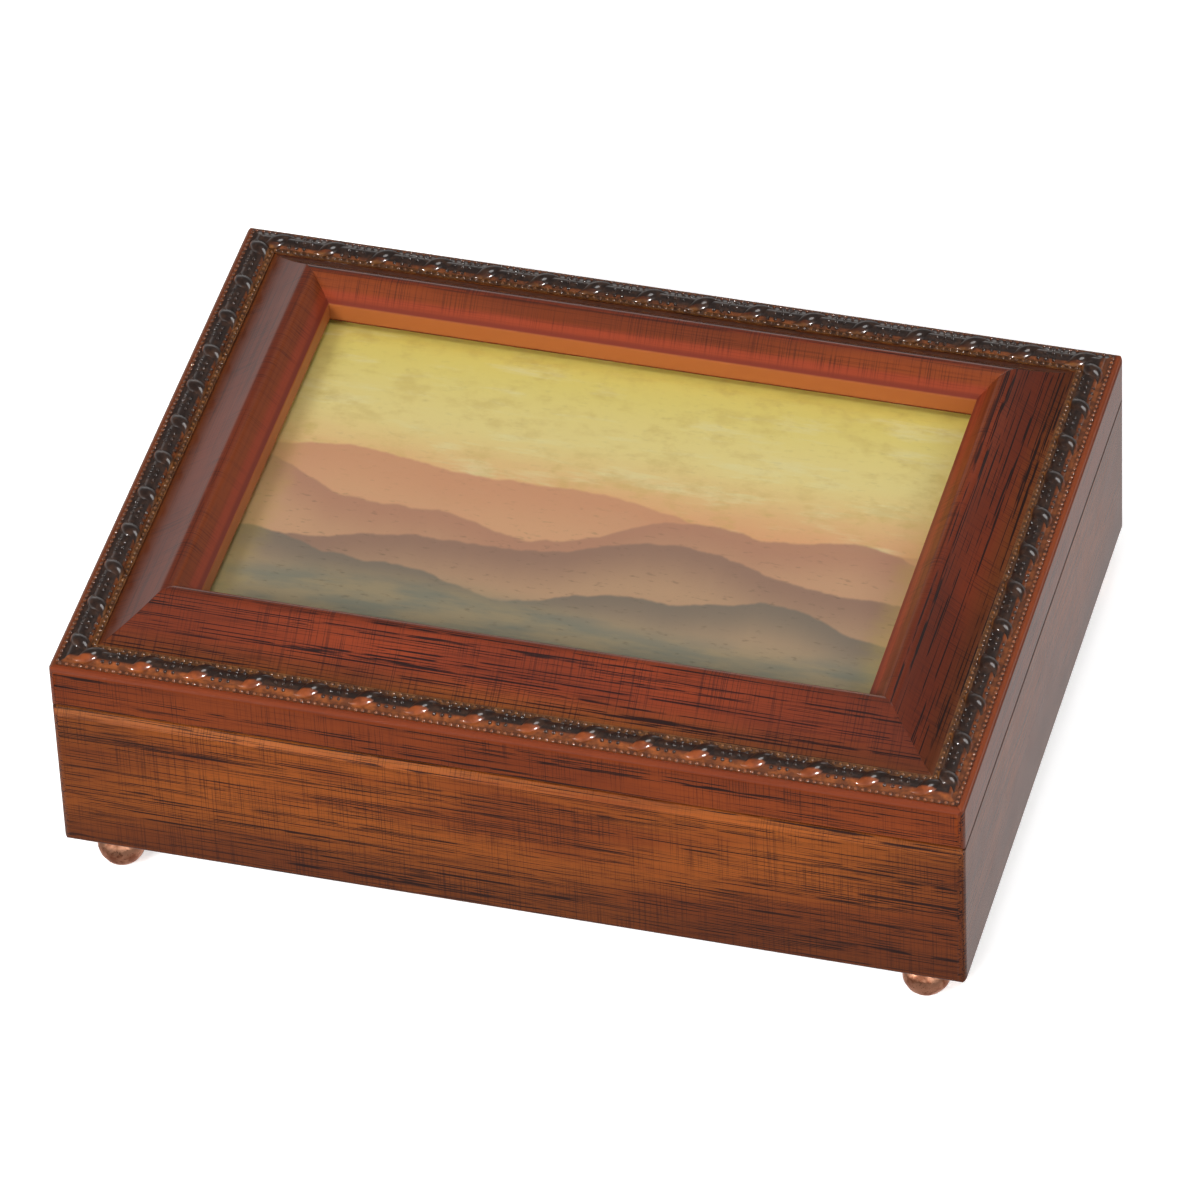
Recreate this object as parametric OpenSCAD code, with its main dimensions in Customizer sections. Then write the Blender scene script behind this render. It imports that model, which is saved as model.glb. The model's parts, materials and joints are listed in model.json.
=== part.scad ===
// Music box: a mitred wooden case on ball feet, with a picture frame for a lid
// and a wind-up comb movement in a covered compartment at the left.
// Millimetres, +Z up, front towards -Y, left towards -X, feet on Z = 0.

/* [Case] */
// Width of the case, left to right
case_w = 203.2; // [190:0.2:240]
// Depth of the case, front to back
case_d = 152.4; // [145:0.2:190]
// Height of the base, from its lower edge to its rim
base_h = 38.8; // [37:0.1:55]
// Thickness of the four walls
wall_t = 12; // [11:0.1:13]
// Thickness of the floor panel
floor_t = 5; // [4:0.1:7]
// How far the floor panel sits up from the lower edge
floor_recess = 2; // [1.8:0.1:3]
// Depth of the groove that the floor panel sits in
groove_d = 2.4; // [1.5:0.1:2.6]
// Radius of the four upright corners
corner_r = 2; // [1:0.1:3]
// Radius along the lower outside edges
lower_r = 1.3; // [0.6:0.1:2]
// How far the bevels of the seam run into the front and back
seam_in = 1.4; // [1.3:0.05:1.8]
// How far the bevels of the seam run up and down the front and back
seam_up = 1.6; // [1.5:0.05:2]

/* [Feet] */
// Radius of a ball foot
foot_r = 5.4; // [4.5:0.1:6]
// Height of the case above the table
foot_h = 10.6; // [10:0.1:13]
// Radius of the flat under a ball foot
foot_flat_r = 1.6; // [1:0.1:2]
// Radius of the collar on top of a ball foot
collar_r = 3.4; // [2.8:0.1:4]
// Height of that collar
collar_h = 1.6; // [1.2:0.1:2.4]
// Radius of the stud that screws into the wall
stud_r = 1.2; // [0.9:0.1:1.3]
// Length of that stud
stud_l = 9; // [6:0.5:14]
// Inset of a foot's centre from the left or right face
foot_in_x = 10.6; // [10.2:0.1:14]
// Inset of a foot's centre from the front or back face
foot_in_y = 7.9; // [7:0.1:8]

/* [Lid frame] */
// Gap between the base's rim and the lid
lid_gap = 0.3; // [0.25:0.05:0.5]
// Height of the lid's outside edge
edge_h = 11.8; // [11.4:0.1:14]
// Radius of the lid's upper outside edge
edge_r = 1.3; // [0.8:0.1:1.5]
// Width of a frame rail, from its outside face to its opening
rail_w = 27.2; // [26:0.1:30]
// Width of the ledge that the glass rests against
rebate_w = 1.9; // [1.4:0.1:2.6]
// Height of the rail's crest above its underside
crest_h = 20.7; // [19.6:0.1:23]
// Distance from the crest to the opening
crest_in = 5.9; // [5.2:0.1:6.6]
// Radius of the crest
crest_r = 2.7; // [2:0.1:3]
// Slope of the scoop where it meets the crest
scoop_top = 41.7; // [38:0.1:46]
// Slope of the scoop where it leaves the ornament
scoop_foot = 27.9; // [20:0.1:32]
// Inset of the scoop's lower end from the outside face
scoop_in = 9; // [8.9:0.1:9.6]
// Height of the scoop's lower end above the lid's edge
scoop_rise = 0.5; // [0.3:0.05:0.9]
// Height of the opening's upright face above the glass
sight_h = 4.6; // [3.6:0.1:5]
// Radius of the opening's upper edge
sight_r = 0.8; // [0.4:0.1:1]
// Height of the face of the glass above the lid's underside
glass_z = 11.7; // [11.3:0.1:12]

/* [Rope ornament] */
// Inset of the ornament's outer side
trim_in = 1.6; // [1.5:0.05:1.75]
// Width of the ornament
trim_w = 7.2; // [7:0.05:7.25]
// Thickness of the ornament's backing
trim_t = 0.4; // [0.3:0.05:0.6]
// Radius of the bead rows on its two sides
pearl_r = 0.5; // [0.4:0.05:0.55]
// Inset of a bead row from the side of the ornament
pearl_in = 0.7; // [0.6:0.05:0.8]
// Radius of the rope's round core
core_r = 1.75; // [1.5:0.05:1.9]
// Spacing of the twists of the rope
twist_pitch = 12.4; // [11:0.1:15]
// Length of a twist
twist_l = 8.6; // [7.5:0.1:9.2]
// Greatest radius of a twist
twist_r = 1.5; // [1.2:0.05:1.6]
// Height of a twist's middle above the backing's underside
twist_z = 1.1; // [0.9:0.05:1.3]
// Angle of a twist to the run of the rope
twist_turn = 24; // [16:1:26]
// Plain end of the rope at each corner
twist_end = 2.4; // [2.2:0.1:6]

/* [Picture] */
// Thickness of the glass
glass_t = 2; // [1.5:0.1:2.2]
// Thickness of the picture card
card_t = 0.4; // [0.3:0.1:0.6]
// Thickness of the backing board
backing_t = 4; // [3.5:0.1:4.2]
// Thickness of the lining under the lid
lid_lining_t = 2; // [1.5:0.1:2.2]
// Length of a retaining point along the rail
point_l = 8; // [6:0.5:10]
// Reach of a retaining point from the rail's rebate
point_out = 3.4; // [2.5:0.1:5]
// Depth of a retaining point in the rail
point_deep = 2.6; // [1.5:0.1:4]
// Thickness of a retaining point
point_t = 0.4; // [0.3:0.05:0.6]
// Share of a rail's length between its two retaining points
point_share = 0.4; // [0.3:0.02:0.44]

/* [Hinges] */
// Length of a hinge
hinge_l = 25; // [22:0.5:32]
// Share of the case's width between the two hinges
hinge_share = 0.6; // [0.5:0.02:0.7]
// Depth of a hinge leaf from the axis
leaf_d = 8; // [7:0.1:9]
// Thickness of a hinge leaf
leaf_t = 0.7; // [0.6:0.05:0.8]
// Radius of the hinge's barrel
barrel_out = 1.25; // [1.15:0.05:1.3]
// Radius of the hinge's pin
hinge_pin_r = 0.6; // [0.5:0.05:0.65]
// Gap between two knuckles
knuckle_gap = 0.2; // [0.1:0.05:0.4]
// Share of the hinge's length taken by the lid's knuckle
knuckle_share = 0.34; // [0.3:0.02:0.4]
// Room around the hinge's barrel
barrel_room = 0.2; // [0.15:0.05:0.3]
// Distance between the two screws of a leaf
leaf_screw_gap = 14; // [12:0.5:16]
// Distance of a leaf's screws from the axis
leaf_screw_in = 4.8; // [4.2:0.1:5.2]
// Radius of a hinge screw's head
leaf_head_r = 1.5; // [1.3:0.05:1.7]
// Radius of a hinge screw's shank
leaf_screw_r = 0.8; // [0.6:0.05:0.9]
// Length of a hinge screw
leaf_screw_l = 8; // [6:0.5:9]

/* [Compartments] */
// Width of the movement's compartment
comp_w = 56; // [55:0.5:70]
// Thickness of the dividing board
divider_t = 4; // [3:0.1:6]
// Height of the cover's underside above the floor panel
cover_up = 25.6; // [25.2:0.1:26.4]
// Thickness of the clear cover
cover_t = 2; // [1.5:0.1:2.4]
// Room around the clear cover
cover_room = 0.3; // [0.2:0.05:0.6]
// Width of the cleats under the cover
cleat_w = 6; // [5:0.5:9]
// Height of those cleats
cleat_h = 6; // [5:0.5:9]
// Thickness of the lining boards
lining_t = 1.5; // [1:0.1:2.5]
// Width of the cover's slot for the stop wire
slot_w = 2.4; // [2:0.1:4]
// Length of that slot
slot_l = 5.4; // [5:0.1:7]
// How far that slot's middle lies to the right of the resting wire
slot_shift = 0.7; // [0.5:0.1:1.2]
// Radius of a cover screw's flush head
cover_head_r = 2.2; // [1.8:0.1:2.4]
// Height of a cover screw's flush head
cover_head_h = 1.1; // [0.8:0.1:1.3]
// Radius of a cover screw's shank
cover_screw_r = 1.1; // [0.8:0.1:1.3]
// Length of a cover screw
cover_screw_l = 7.5; // [6:0.5:7.5]

/* [Movement] */
// Distance of the cylinder's axis from the left wall
move_in = 24; // [22:0.5:25]
// Distance of the movement's middle behind the case's middle
move_y = 0; // [-12:0.5:12]
// Thickness of the bedplate
bed_t = 3; // [2.5:0.1:3.4]
// Length of the bedplate
bed_l = 62; // [61:0.5:70]
// Reach of the bedplate to the left of the cylinder's axis
bed_left = 18; // [17:0.5:19]
// Radius of the pinned cylinder
cyl_r = 6.5; // [6:0.1:6.6]
// Length of the pinned cylinder
cyl_l = 20; // [20:0.2:20.8]
// Height of the cylinder's pins
pin_h = 0.8; // [0.5:0.05:0.9]
// Radius of the cylinder's pins
pin_r = 0.24; // [0.2:0.02:0.3]
// Pins along each tooth's track
pins_each = 3; // [2:1:4]
// Radius of the cylinder's arbor
arbor_r = 1.2; // [1:0.05:1.3]
// Teeth of the comb
comb_n = 18; // [16:1:20]
// Width of the comb
comb_w = 18.4; // [17.6:0.1:18.8]
// Thickness of the comb
comb_t = 1; // [0.8:0.05:1.2]
// Gap between two teeth of the comb
comb_slit = 0.26; // [0.2:0.02:0.34]
// Length of the longest tooth
tooth_long = 13; // [12:0.5:14]
// Length of the shortest tooth
tooth_short = 9; // [7:0.5:11]
// Depth of the comb's solid back
comb_back = 6; // [5.5:0.1:6.5]
// Gap between the pins and the tips of the comb
tip_gap = 0.2; // [0.15:0.05:0.4]
// Radius of a comb screw's head
comb_head_r = 1.9; // [1.6:0.1:2.2]
// Height of a comb screw's head
comb_head_h = 1.3; // [1:0.1:1.6]
// Radius of a comb screw's shank
comb_screw_r = 1; // [0.8:0.05:1.2]
// Length of a comb screw under its head
comb_screw_l = 6; // [4:0.5:8]
// Radius of a bedplate screw's head
bed_head_r = 2.6; // [2.2:0.1:2.8]
// Height of a bedplate screw's head
bed_head_h = 1.4; // [1:0.1:1.6]
// Radius of a bedplate screw's shank
bed_screw_r = 1.4; // [1.1:0.05:1.6]
// Inset of the bedplate's screws from its sides
screw_in = 4; // [3.5:0.1:5]
// Distance of the front bedplate screws in front of the barrel's axis
screw_fore = 10; // [9:0.1:10.5]
// Distance of the cylinder's front end in front of the movement's middle
cyl_fore = 4; // [3.9:0.1:4.2]
// Depth of the pins in the cylinder's wall
pin_deep = 0.5; // [0.4:0.05:0.8]
// Angle between the pins of one track
pin_beat = 133; // [120:1:140]
// Angle between the pins of neighbouring tracks
pin_step = 97; // [80:1:110]
// Growth of that angle from track to track
pin_drift = 29; // [10:1:40]
// Wall left around the cylinder's bearings
bear_wall = 2; // [1.6:0.1:2.2]

/* [Spring motor] */
// Distance of the barrel's axis in front of the movement's middle
barrel_off = 17; // [16.8:0.1:17.4]
// Radius of the spring barrel
barrel_r = 12; // [11.9:0.05:12.2]
// Height of the spring barrel
barrel_h = 6.4; // [6:0.1:6.6]
// Thickness of the barrel's wall
barrel_wall = 0.8; // [0.6:0.05:1]
// Thickness of the mainspring
spring_t = 0.35; // [0.25:0.05:0.45]
// Turns of the mainspring
spring_turns = 5; // [4:1:6]
// Teeth of the barrel's crown wheel
crown_n = 36; // [36:1:36]
// Teeth of the cylinder's pinion
pinion_n = 12; // [12:1:12]
// Middle radius of the crown teeth
crown_r = 10.5; // [10.4:0.05:10.6]
// Length of the crown teeth
crown_l = 2.4; // [2:0.1:2.6]
// Radius of the winding arbor
wind_r = 2; // [1.8:0.05:2.2]
// Radius of the winding arbor's upper pivot
wind_pivot_r = 1.2; // [1:0.05:1.4]
// Distance of the bridge's plate behind the barrel's axis
bridge_off = 5.8; // [5.7:0.05:5.9]
// Width of the collar on the winding arbor
wind_collar = 1; // [0.6:0.1:1.4]
// Thickness of the bridge over the barrel
bridge_t = 1.8; // [1.5:0.1:2]
// Width of the bridge's legs
leg_w = 2.6; // [2:0.1:2.8]
// Radius of the key's hub
hub_r = 3.4; // [3:0.1:4]
// Length of the key's hub
hub_l = 8.6; // [7.5:0.1:8.8]
// Radius of a wing of the key
wing_r = 4.6; // [4:0.1:4.7]
// Distance of a wing's middle from the key's axis
wing_out = 8; // [7:0.1:9]
// Radius of the eye in a wing
eye_r = 2.4; // [1.8:0.1:2.8]
// Thickness of the key's wings
wing_t = 2.2; // [1.8:0.1:3]

/* [Governor] */
// Module of the train's small gears
gear_m = 0.4; // [0.4:0.01:0.41]
// Teeth of the cylinder's gear
gear_n = 32; // [32:1:32]
// Teeth of the idler's pinion
idler_n = 10; // [10:1:10]
// Teeth of the worm wheel
wheel_n = 20; // [20:1:20]
// Threads of the worm
worm_starts = 2; // [2:1:2]
// Thickness of the cylinder's gear
gear_t = 1.5; // [1.2:0.1:1.8]
// Thickness of the worm wheel
wheel_t = 1; // [0.8:0.05:1.1]
// Middle radius of the worm's thread
worm_r = 1.6; // [1.5:0.05:1.7]
// Length of the worm's thread
worm_l = 6; // [5:0.1:6.2]
// Height of a tooth above its middle line, in modules
tooth_up = 0.9; // [0.8:0.05:0.95]
// Depth of a tooth below its middle line, in modules
tooth_down = 1.15; // [1.1:0.05:1.25]
// Pressure angle of the teeth
press_deg = 20; // [18:0.5:22]
// Share of a tooth that is left after backlash
slim = 0.72; // [0.6:0.02:0.74]
// Dip of the idler below the cylinder's axis
idler_dip = 16.6; // [15:0.2:18]
// Radius of the governor's shafts
shaft_r = 0.8; // [0.7:0.05:0.9]
// Wall around the governor's bearings
gov_wall = 2.2; // [1.8:0.1:2.4]
// Wall around the worm shaft's lower bearing
boss_wall = 1; // [0.8:0.1:1.2]
// Height of that bearing above the bedplate
boss_h = 2; // [1.5:0.1:2.2]
// Height of the lug over the worm
lug_h = 1.2; // [1:0.1:1.3]
// Depth that the worm's thread is sunk in its core
worm_sink = 0.1; // [0.05:0.05:0.2]
// Wall of the fan's hub
fan_wall = 0.7; // [0.5:0.05:0.9]
// Thickness of the governor's plates
plate_t = 1.6; // [1.4:0.05:1.7]
// Distance between the governor's plates
plate_gap = 6.4; // [6.3:0.05:7]
// Radius of the fan
fan_r = 5; // [4:0.1:5.2]
// Height of the fan's vanes
fan_h = 3; // [2.4:0.1:3.1]
// Thickness of the fan's vanes
vane_t = 0.6; // [0.5:0.05:0.9]
// Radius of the brake disc on the fan
disc_r = 3.2; // [3.2:0.05:3.6]
// Thickness of that disc
disc_t = 0.8; // [0.6:0.05:0.9]
// Radius of a governor screw's head
gov_head_r = 1.5; // [1.2:0.05:1.6]
// Height of a governor screw's head
gov_head_h = 0.8; // [0.6:0.05:1]
// Radius of a governor screw's shank
gov_screw_r = 0.8; // [0.6:0.05:0.9]

/* [Stop lever] */
// Width of the stop lever's arm
lever_w = 1.2; // [1:0.05:1.3]
// Thickness of the stop lever's arm
lever_t = 1.2; // [1:0.05:1.3]
// Radius of the stop wire
wire_r = 0.6; // [0.5:0.05:0.7]
// Distance of the stop wire to the left of the cylinder's axis
wire_in = 16.6; // [16.2:0.1:17]
// Distance of the lever's pivot to the left of the cylinder's axis
pivot_in = 3; // [2.6:0.1:3.4]
// Wall of the lever's and the pivot's eyes
eye_wall = 0.8; // [0.7:0.05:0.9]
// Wall of the plate around the lever's pivot
ear_wall = 1.2; // [1:0.05:1.3]
// Height of the pivot's head
pivot_head_h = 0.8; // [0.6:0.05:1]
// Distance of the lever's weight to the right of its pivot
weight_out = 10; // [9:0.1:12]
// Radius of the lever's weight, which lifts the wire when the lid opens
weight_r = 2.6; // [2.4:0.05:2.65]
// Gap between the lever's finger and the brake disc
finger_gap = 0.3; // [0.25:0.05:0.4]
// Gap between the stop wire and the closed lid
wire_gap = 0.3; // [0.25:0.05:0.6]

/* [Fits] */
// Room around screws and dropped-in panels
fit = 0.05; // [0.02:0.01:0.1]
// Room around turning shafts
run = 0.05; // [0.03:0.01:0.1]
// Room between pieces that pass each other
pass = 0.4; // [0.35:0.05:0.5]
// Width of a screw's slot as a share of its head's radius
drive_w = 0.3; // [0.2:0.02:0.4]
// Depth of a screw's slot as a share of its head's height
drive_d = 0.45; // [0.3:0.05:0.6]

/* [Hidden] */
$fn = 64;
over = 1;
hw = case_w / 2;
hd = case_d / 2;
in_x = hw - wall_t;
in_y = hd - wall_t;
z_rim = foot_h + base_h;
z_lid = z_rim + lid_gap;
z_under = foot_h + floor_recess;
z_floor = z_under + floor_t;
foot_mid = sqrt(foot_r * foot_r - foot_flat_r * foot_flat_r);
hinge_y = hd - seam_in;
hinge_z = z_rim + lid_gap / 2;
rebate_in = rail_w - rebate_w;
deck_hi = edge_h + scoop_rise;
crest_a = rail_w - crest_in;
rope_a = trim_in + trim_w / 2;
pane_w = case_w - 2 * rebate_in - 2 * fit;
pane_d = case_d - 2 * rebate_in - 2 * fit;
z_card = z_lid + glass_z - glass_t - card_t;
z_back = z_card - backing_t;
z_cover = z_floor + cover_up;
z_cover_top = z_cover + cover_t;
div_x = comp_w - in_x;
tray_x = div_x + divider_t;
mx = move_in - in_x;
by = move_y - barrel_off;
bridge_y = by + bridge_off;
z_bed = z_floor + bed_t;
z_drum = z_bed + pass;
z_crown = z_drum + barrel_h;
crown_m = 2 * crown_r / crown_n;
zc = z_crown + tooth_down * crown_m + crown_m * pinion_n / 2;
z_crown_tip = z_crown + (tooth_down + tooth_up) * crown_m;
z_bridge = z_crown_tip + 2 * pass;
cyl_y = move_y - cyl_fore;
gear_y = cyl_y + cyl_l;
gear_d = gear_m * (gear_n + idler_n) / 2 + run;
gx = mx - gear_d * cos(idler_dip);
gz = zc - gear_d * sin(idler_dip);
wheel_r = gear_m * wheel_n / 2;
wheel_tip = wheel_r + tooth_up * gear_m;
wx = gx - wheel_r - worm_r - run;
plate_y = gear_y + gear_t + 3.5 * pass;
wheel_y = plate_y + plate_t + plate_gap / 2;
rear_y = plate_y + plate_t + plate_gap;
worm_p = PI * gear_m;
worm_tip = worm_r + tooth_up * gear_m;
worm_root = worm_r - tooth_down * gear_m;
z_lug = gz + worm_l / 2 + pass;
lug_w = 2 * (worm_tip + pass / 2);
z_fan = z_lug + lug_h + pass;
z_disc = z_fan + fan_h + pass / 2;
z_pivot = z_disc + disc_t + finger_gap + 1.5 * lever_w;
lever_y = plate_y + plate_t + 0.75 * pass;
comb_x = mx + cyl_r + pin_h + tip_gap;
comb_y = cyl_y + (cyl_l - comb_w) / 2;
comb_root = comb_x + tooth_long;
bed_right = comb_root + comb_back + over - mx;
wing_z = z_under - over - wing_r;

function polar(r, a) = [r * cos(a), r * sin(a)];
function arc(c, r, a0, a1, n) = [for (i = [0:n]) c + polar(r, a0 + (a1 - a0) * i / n)];
function bezier(p, n) = [for (i = [1:n]) let (t = i / n, s = 1 - t)
  s * s * s * p[0] + 3 * s * s * t * p[1] + 3 * s * t * t * p[2] + t * t * t * p[3]];
function involute(rb, r) = let (a = acos(min(1, rb / r))) tan(a) * 180 / PI - a;
function deck(a) = edge_h + scoop_rise * (a - edge_r) / (scoop_in - edge_r);

// One tooth of a spur gear, from the foot of one flank to the foot of the other
function tooth(n, m, mid) = let (
    rp = m * n / 2,
    rb = rp * cos(press_deg),
    rf = rp - tooth_down * m,
    ra = rp + tooth_up * m,
    r0 = max(rb, rf),
    half = 90 / n * slim + involute(rb, rp),
    rise = [for (i = [0:3]) r0 + (ra - r0) * i / 3])
  concat(
    [polar(rf, mid - half)],
    [for (r = rise) polar(r, mid - half + involute(rb, r))],
    [for (i = [0:3]) let (r = rise[3 - i]) polar(r, mid + half - involute(rb, r))],
    [polar(rf, mid + half)]);
function gear(n, m, turn) = [for (i = [0:n - 1]) each tooth(n, m, turn + 360 * i / n)];

// Section of a lid rail: inset from the outside face, height above the underside
function rail_section() = let (
    crest = [crest_a, crest_h - crest_r],
    top0 = crest + polar(crest_r, 90 + scoop_top),
    foot = [scoop_in, deck_hi],
    reach = (top0[0] - foot[0]) / 3,
    lip = [rail_w, glass_z + sight_h],
    knee = [rail_w - sight_r, lip[1] - sight_r],
    span = knee - crest,
    fall = atan2(span[1], span[0]) + acos((crest_r - sight_r) / norm(span)))
  concat(
    [[0, 0]],
    arc([edge_r, edge_h - edge_r], edge_r, 180, 90, 6),
    [foot],
    bezier([foot, foot + [reach, reach * tan(scoop_foot)],
      top0 - [reach, reach * tan(scoop_top)], top0], 12),
    arc(crest, crest_r, 90 + scoop_top, fall, 10),
    arc(knee, sight_r, fall, 0, 5),
    [[rail_w, glass_z], [rebate_in, glass_z], [rebate_in, 0]]);

// Outline in plan of one side of a mitred frame
module mitre_plan(len, reach, depth) {
  polygon([[-len / 2, -reach], [len / 2, -reach],
    [len / 2 - depth, depth - reach], [depth - len / 2, depth - reach]]);
}

// Waste outside a rounded edge that runs along X at the origin
module edge_waste(len, r) {
  rotate([90, 0, 90]) linear_extrude(len + 2 * over, center = true) difference() {
    translate([-over, -over]) square(r + over);
    translate([r, r]) circle(r = r);
  }
}

// Waste outside the four rounded upright corners
module corner_waste(z, h) {
  for (sx = [-1, 1], sy = [-1, 1])
    translate([sx * hw, sy * hd, z - over]) linear_extrude(h + 2 * over) difference() {
      translate([-corner_r, -corner_r]) square(2 * corner_r);
      translate([-sx * corner_r, -sy * corner_r]) circle(r = corner_r);
      translate([sx < 0 ? corner_r : -2 * corner_r - over, -corner_r - over])
        square([corner_r + over, 2 * (corner_r + over)]);
      translate([-corner_r - over, sy < 0 ? corner_r : -2 * corner_r - over])
        square([2 * (corner_r + over), corner_r + over]);
    }
}

// Bevels of the seam along the front and back; up = 1 for the lid, -1 for the base
module seam_waste(z, up) {
  for (sy = [-1, 1])
    translate([0, sy * hd, z]) rotate([90, 0, 90]) linear_extrude(case_w + 2 * over, center = true)
      polygon([[-sy * seam_in, 0], [-sy * seam_in, -up * over], [sy * over, -up * over],
        [sy * over, up * (seam_up + over * seam_up / seam_in)]]);
}

// A plain screw along Z with its head on top at the origin
module screw(head_r, head_h, r, len) {
  difference() {
    union() {
      cylinder(r = head_r, h = head_h);
      translate([0, 0, -len]) cylinder(r = r, h = len + head_h / 2);
    }
    translate([-head_r - over, -head_r * drive_w / 2, head_h * (1 - drive_d)])
      cube([2 * (head_r + over), head_r * drive_w, head_h]);
  }
}

// A flush screw along Z with the top of its head at the origin
module flush_screw(head_r, head_h, r, len) {
  difference() {
    union() {
      translate([0, 0, -head_h]) cylinder(r1 = r, r2 = head_r, h = head_h);
      translate([0, 0, -len]) cylinder(r = r, h = len);
    }
    translate([-head_r - over, -head_r * drive_w / 2, -head_h * drive_d])
      cube([2 * (head_r + over), head_r * drive_w, head_h]);
  }
}

// One wall of the base, in the place and direction of its side
module case_wall(turn, len, reach) {
  difference() {
    rotate([0, 0, turn]) difference() {
      translate([0, 0, foot_h]) linear_extrude(base_h) mitre_plan(len, reach, wall_t);
      translate([0, -reach, foot_h]) edge_waste(len, lower_r);
      translate([-len / 2, wall_t - groove_d - reach, z_under]) cube([len, groove_d + over, floor_t]);
    }
    corner_waste(foot_h, base_h);
    seam_waste(z_rim, -1);
  }
}

module foot_places() {
  for (sx = [-1, 1], sy = [-1, 1])
    translate([sx * (hw - foot_in_x), sy * (hd - foot_in_y), 0]) children();
}

module stud_holes() {
  foot_places() translate([0, 0, foot_h - over]) cylinder(r = stud_r + fit, h = stud_l + over + fit);
}

module base_front() {
  color([0.55, 0.30, 0.17]) difference() {
    case_wall(0, case_w, hd);
    stud_holes();
  }
}

module base_back() {
  color([0.55, 0.30, 0.17]) difference() {
    case_wall(180, case_w, hd);
    stud_holes();
    hinge_places() {
      hinge_pocket(-1);
      leaf_screw_holes(-1);
    }
  }
}

module base_left() {
  color([0.55, 0.30, 0.17]) case_wall(270, case_d, hw);
}

module base_right() {
  color([0.55, 0.30, 0.17]) case_wall(90, case_d, hw);
}

// Places of the screws that hold the movement down
module bed_screw_places() {
  for (p = [[mx - bed_left + screw_in, by - screw_fore], [mx + bed_right - screw_in, by - screw_fore],
    [mx + bed_right - screw_in, move_y + bed_l / 2 - screw_in]])
    translate([p[0], p[1], 0]) children();
}

module base_floor() {
  color([0.20, 0.13, 0.10]) difference() {
    translate([groove_d * -1 - in_x + fit, -in_y - groove_d + fit, z_under])
      cube([2 * (in_x + groove_d - fit), 2 * (in_y + groove_d - fit), floor_t]);
    translate([mx, by, z_under - over]) cylinder(r = wind_r + 3 * pass, h = floor_t + 2 * over);
    bed_screw_places() translate([0, 0, z_under - over])
      cylinder(r = bed_screw_r + fit, h = floor_t + 2 * over);
  }
}

module ball_foot(sx, sy) {
  color([0.62, 0.40, 0.28]) translate([sx * (hw - foot_in_x), sy * (hd - foot_in_y), 0])
    rotate_extrude() {
      intersection() {
        translate([0, foot_mid]) circle(r = foot_r);
        square([foot_r + over, foot_h - collar_h / 4]);
      }
      translate([0, foot_h - collar_h]) square([collar_r, collar_h]);
      translate([0, foot_mid]) square([stud_r, foot_h + stud_l - foot_mid]);
    }
}

module foot_front_left() { ball_foot(-1, -1); }
module foot_front_right() { ball_foot(1, -1); }
module foot_back_left() { ball_foot(-1, 1); }
module foot_back_right() { ball_foot(1, 1); }

module divider() {
  color([0.15, 0.10, 0.09]) translate([div_x, -in_y, z_floor])
    cube([divider_t, 2 * in_y, z_cover_top - z_floor]);
}

module cover_screw_places() {
  for (sy = [-1, 1])
    translate([(div_x - in_x) / 2, sy * (in_y - cleat_w / 2), z_cover_top]) children();
}

module cover_screw_holes() {
  cover_screw_places() translate([0, 0, -cover_screw_l - fit])
    cylinder(r = cover_screw_r + fit, h = cover_screw_l + over);
  cover_screw_places() translate([0, 0, -cover_head_h])
    cylinder(r1 = cover_screw_r + fit, r2 = cover_head_r + fit, h = cover_head_h + fit);
}

module cover_cleats() {
  color([0.15, 0.10, 0.09]) difference() {
    for (sy = [-1, 1])
      translate([-in_x, sy < 0 ? -in_y : in_y - cleat_w, z_cover - cleat_h])
        cube([comp_w, cleat_w, cleat_h]);
    cover_screw_holes();
  }
}

module movement_cover() {
  color([0.85, 0.92, 0.95, 0.3]) difference() {
    translate([cover_room - in_x, cover_room - in_y, z_cover])
      cube([comp_w - 2 * cover_room, 2 * (in_y - cover_room), cover_t]);
    cover_screw_holes();
    translate([mx - wire_in - slot_l / 2 + slot_shift, lever_y + lever_t / 2 - slot_w / 2, z_cover - over])
      cube([slot_l, slot_w, cover_t + 2 * over]);
  }
}

module cover_screws() {
  color([0.75, 0.60, 0.30]) cover_screw_places()
    flush_screw(cover_head_r, cover_head_h, cover_screw_r, cover_screw_l);
}

module lining_floor() {
  color([0.12, 0.03, 0.05]) translate([tray_x, -in_y, z_floor]) cube([in_x - tray_x, 2 * in_y, lining_t]);
}

// A lining board that stands on the floor's lining
module lining_wall(x, y, w, d) {
  color([0.12, 0.03, 0.05]) translate([x, y, z_floor + lining_t])
    cube([w, d, z_cover_top - z_floor - lining_t]);
}

module lining_front() { lining_wall(tray_x, -in_y, in_x - tray_x, lining_t); }
module lining_back() { lining_wall(tray_x, in_y - lining_t, in_x - tray_x, lining_t); }
module lining_right() { lining_wall(in_x - lining_t, lining_t - in_y, lining_t, 2 * (in_y - lining_t)); }
module lining_divider() { lining_wall(tray_x, lining_t - in_y, lining_t, 2 * (in_y - lining_t)); }

// Hinges: children are drawn about the axis, with the case's inside towards -Y
module hinge_place(side) {
  translate([side * hinge_share * hw, hinge_y, hinge_z]) children();
}

module hinge_places() {
  for (side = [-1, 1]) hinge_place(side) children();
}

// Room in the wood for one hinge; up = 1 in the lid, -1 in the base
module hinge_pocket(up) {
  rotate([0, 90, 0]) cylinder(r = barrel_out + barrel_room, h = hinge_l + 2 * knuckle_gap, center = true);
  translate([-hinge_l / 2 - fit, -leaf_d - fit, up > 0 ? 0 : -lid_gap / 2 - leaf_t])
    cube([hinge_l + 2 * fit, leaf_d + fit, lid_gap / 2 + leaf_t]);
}

module leaf_screw_places() {
  for (sx = [-1, 1]) translate([sx * leaf_screw_gap / 2, -leaf_screw_in, 0]) children();
}

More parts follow.
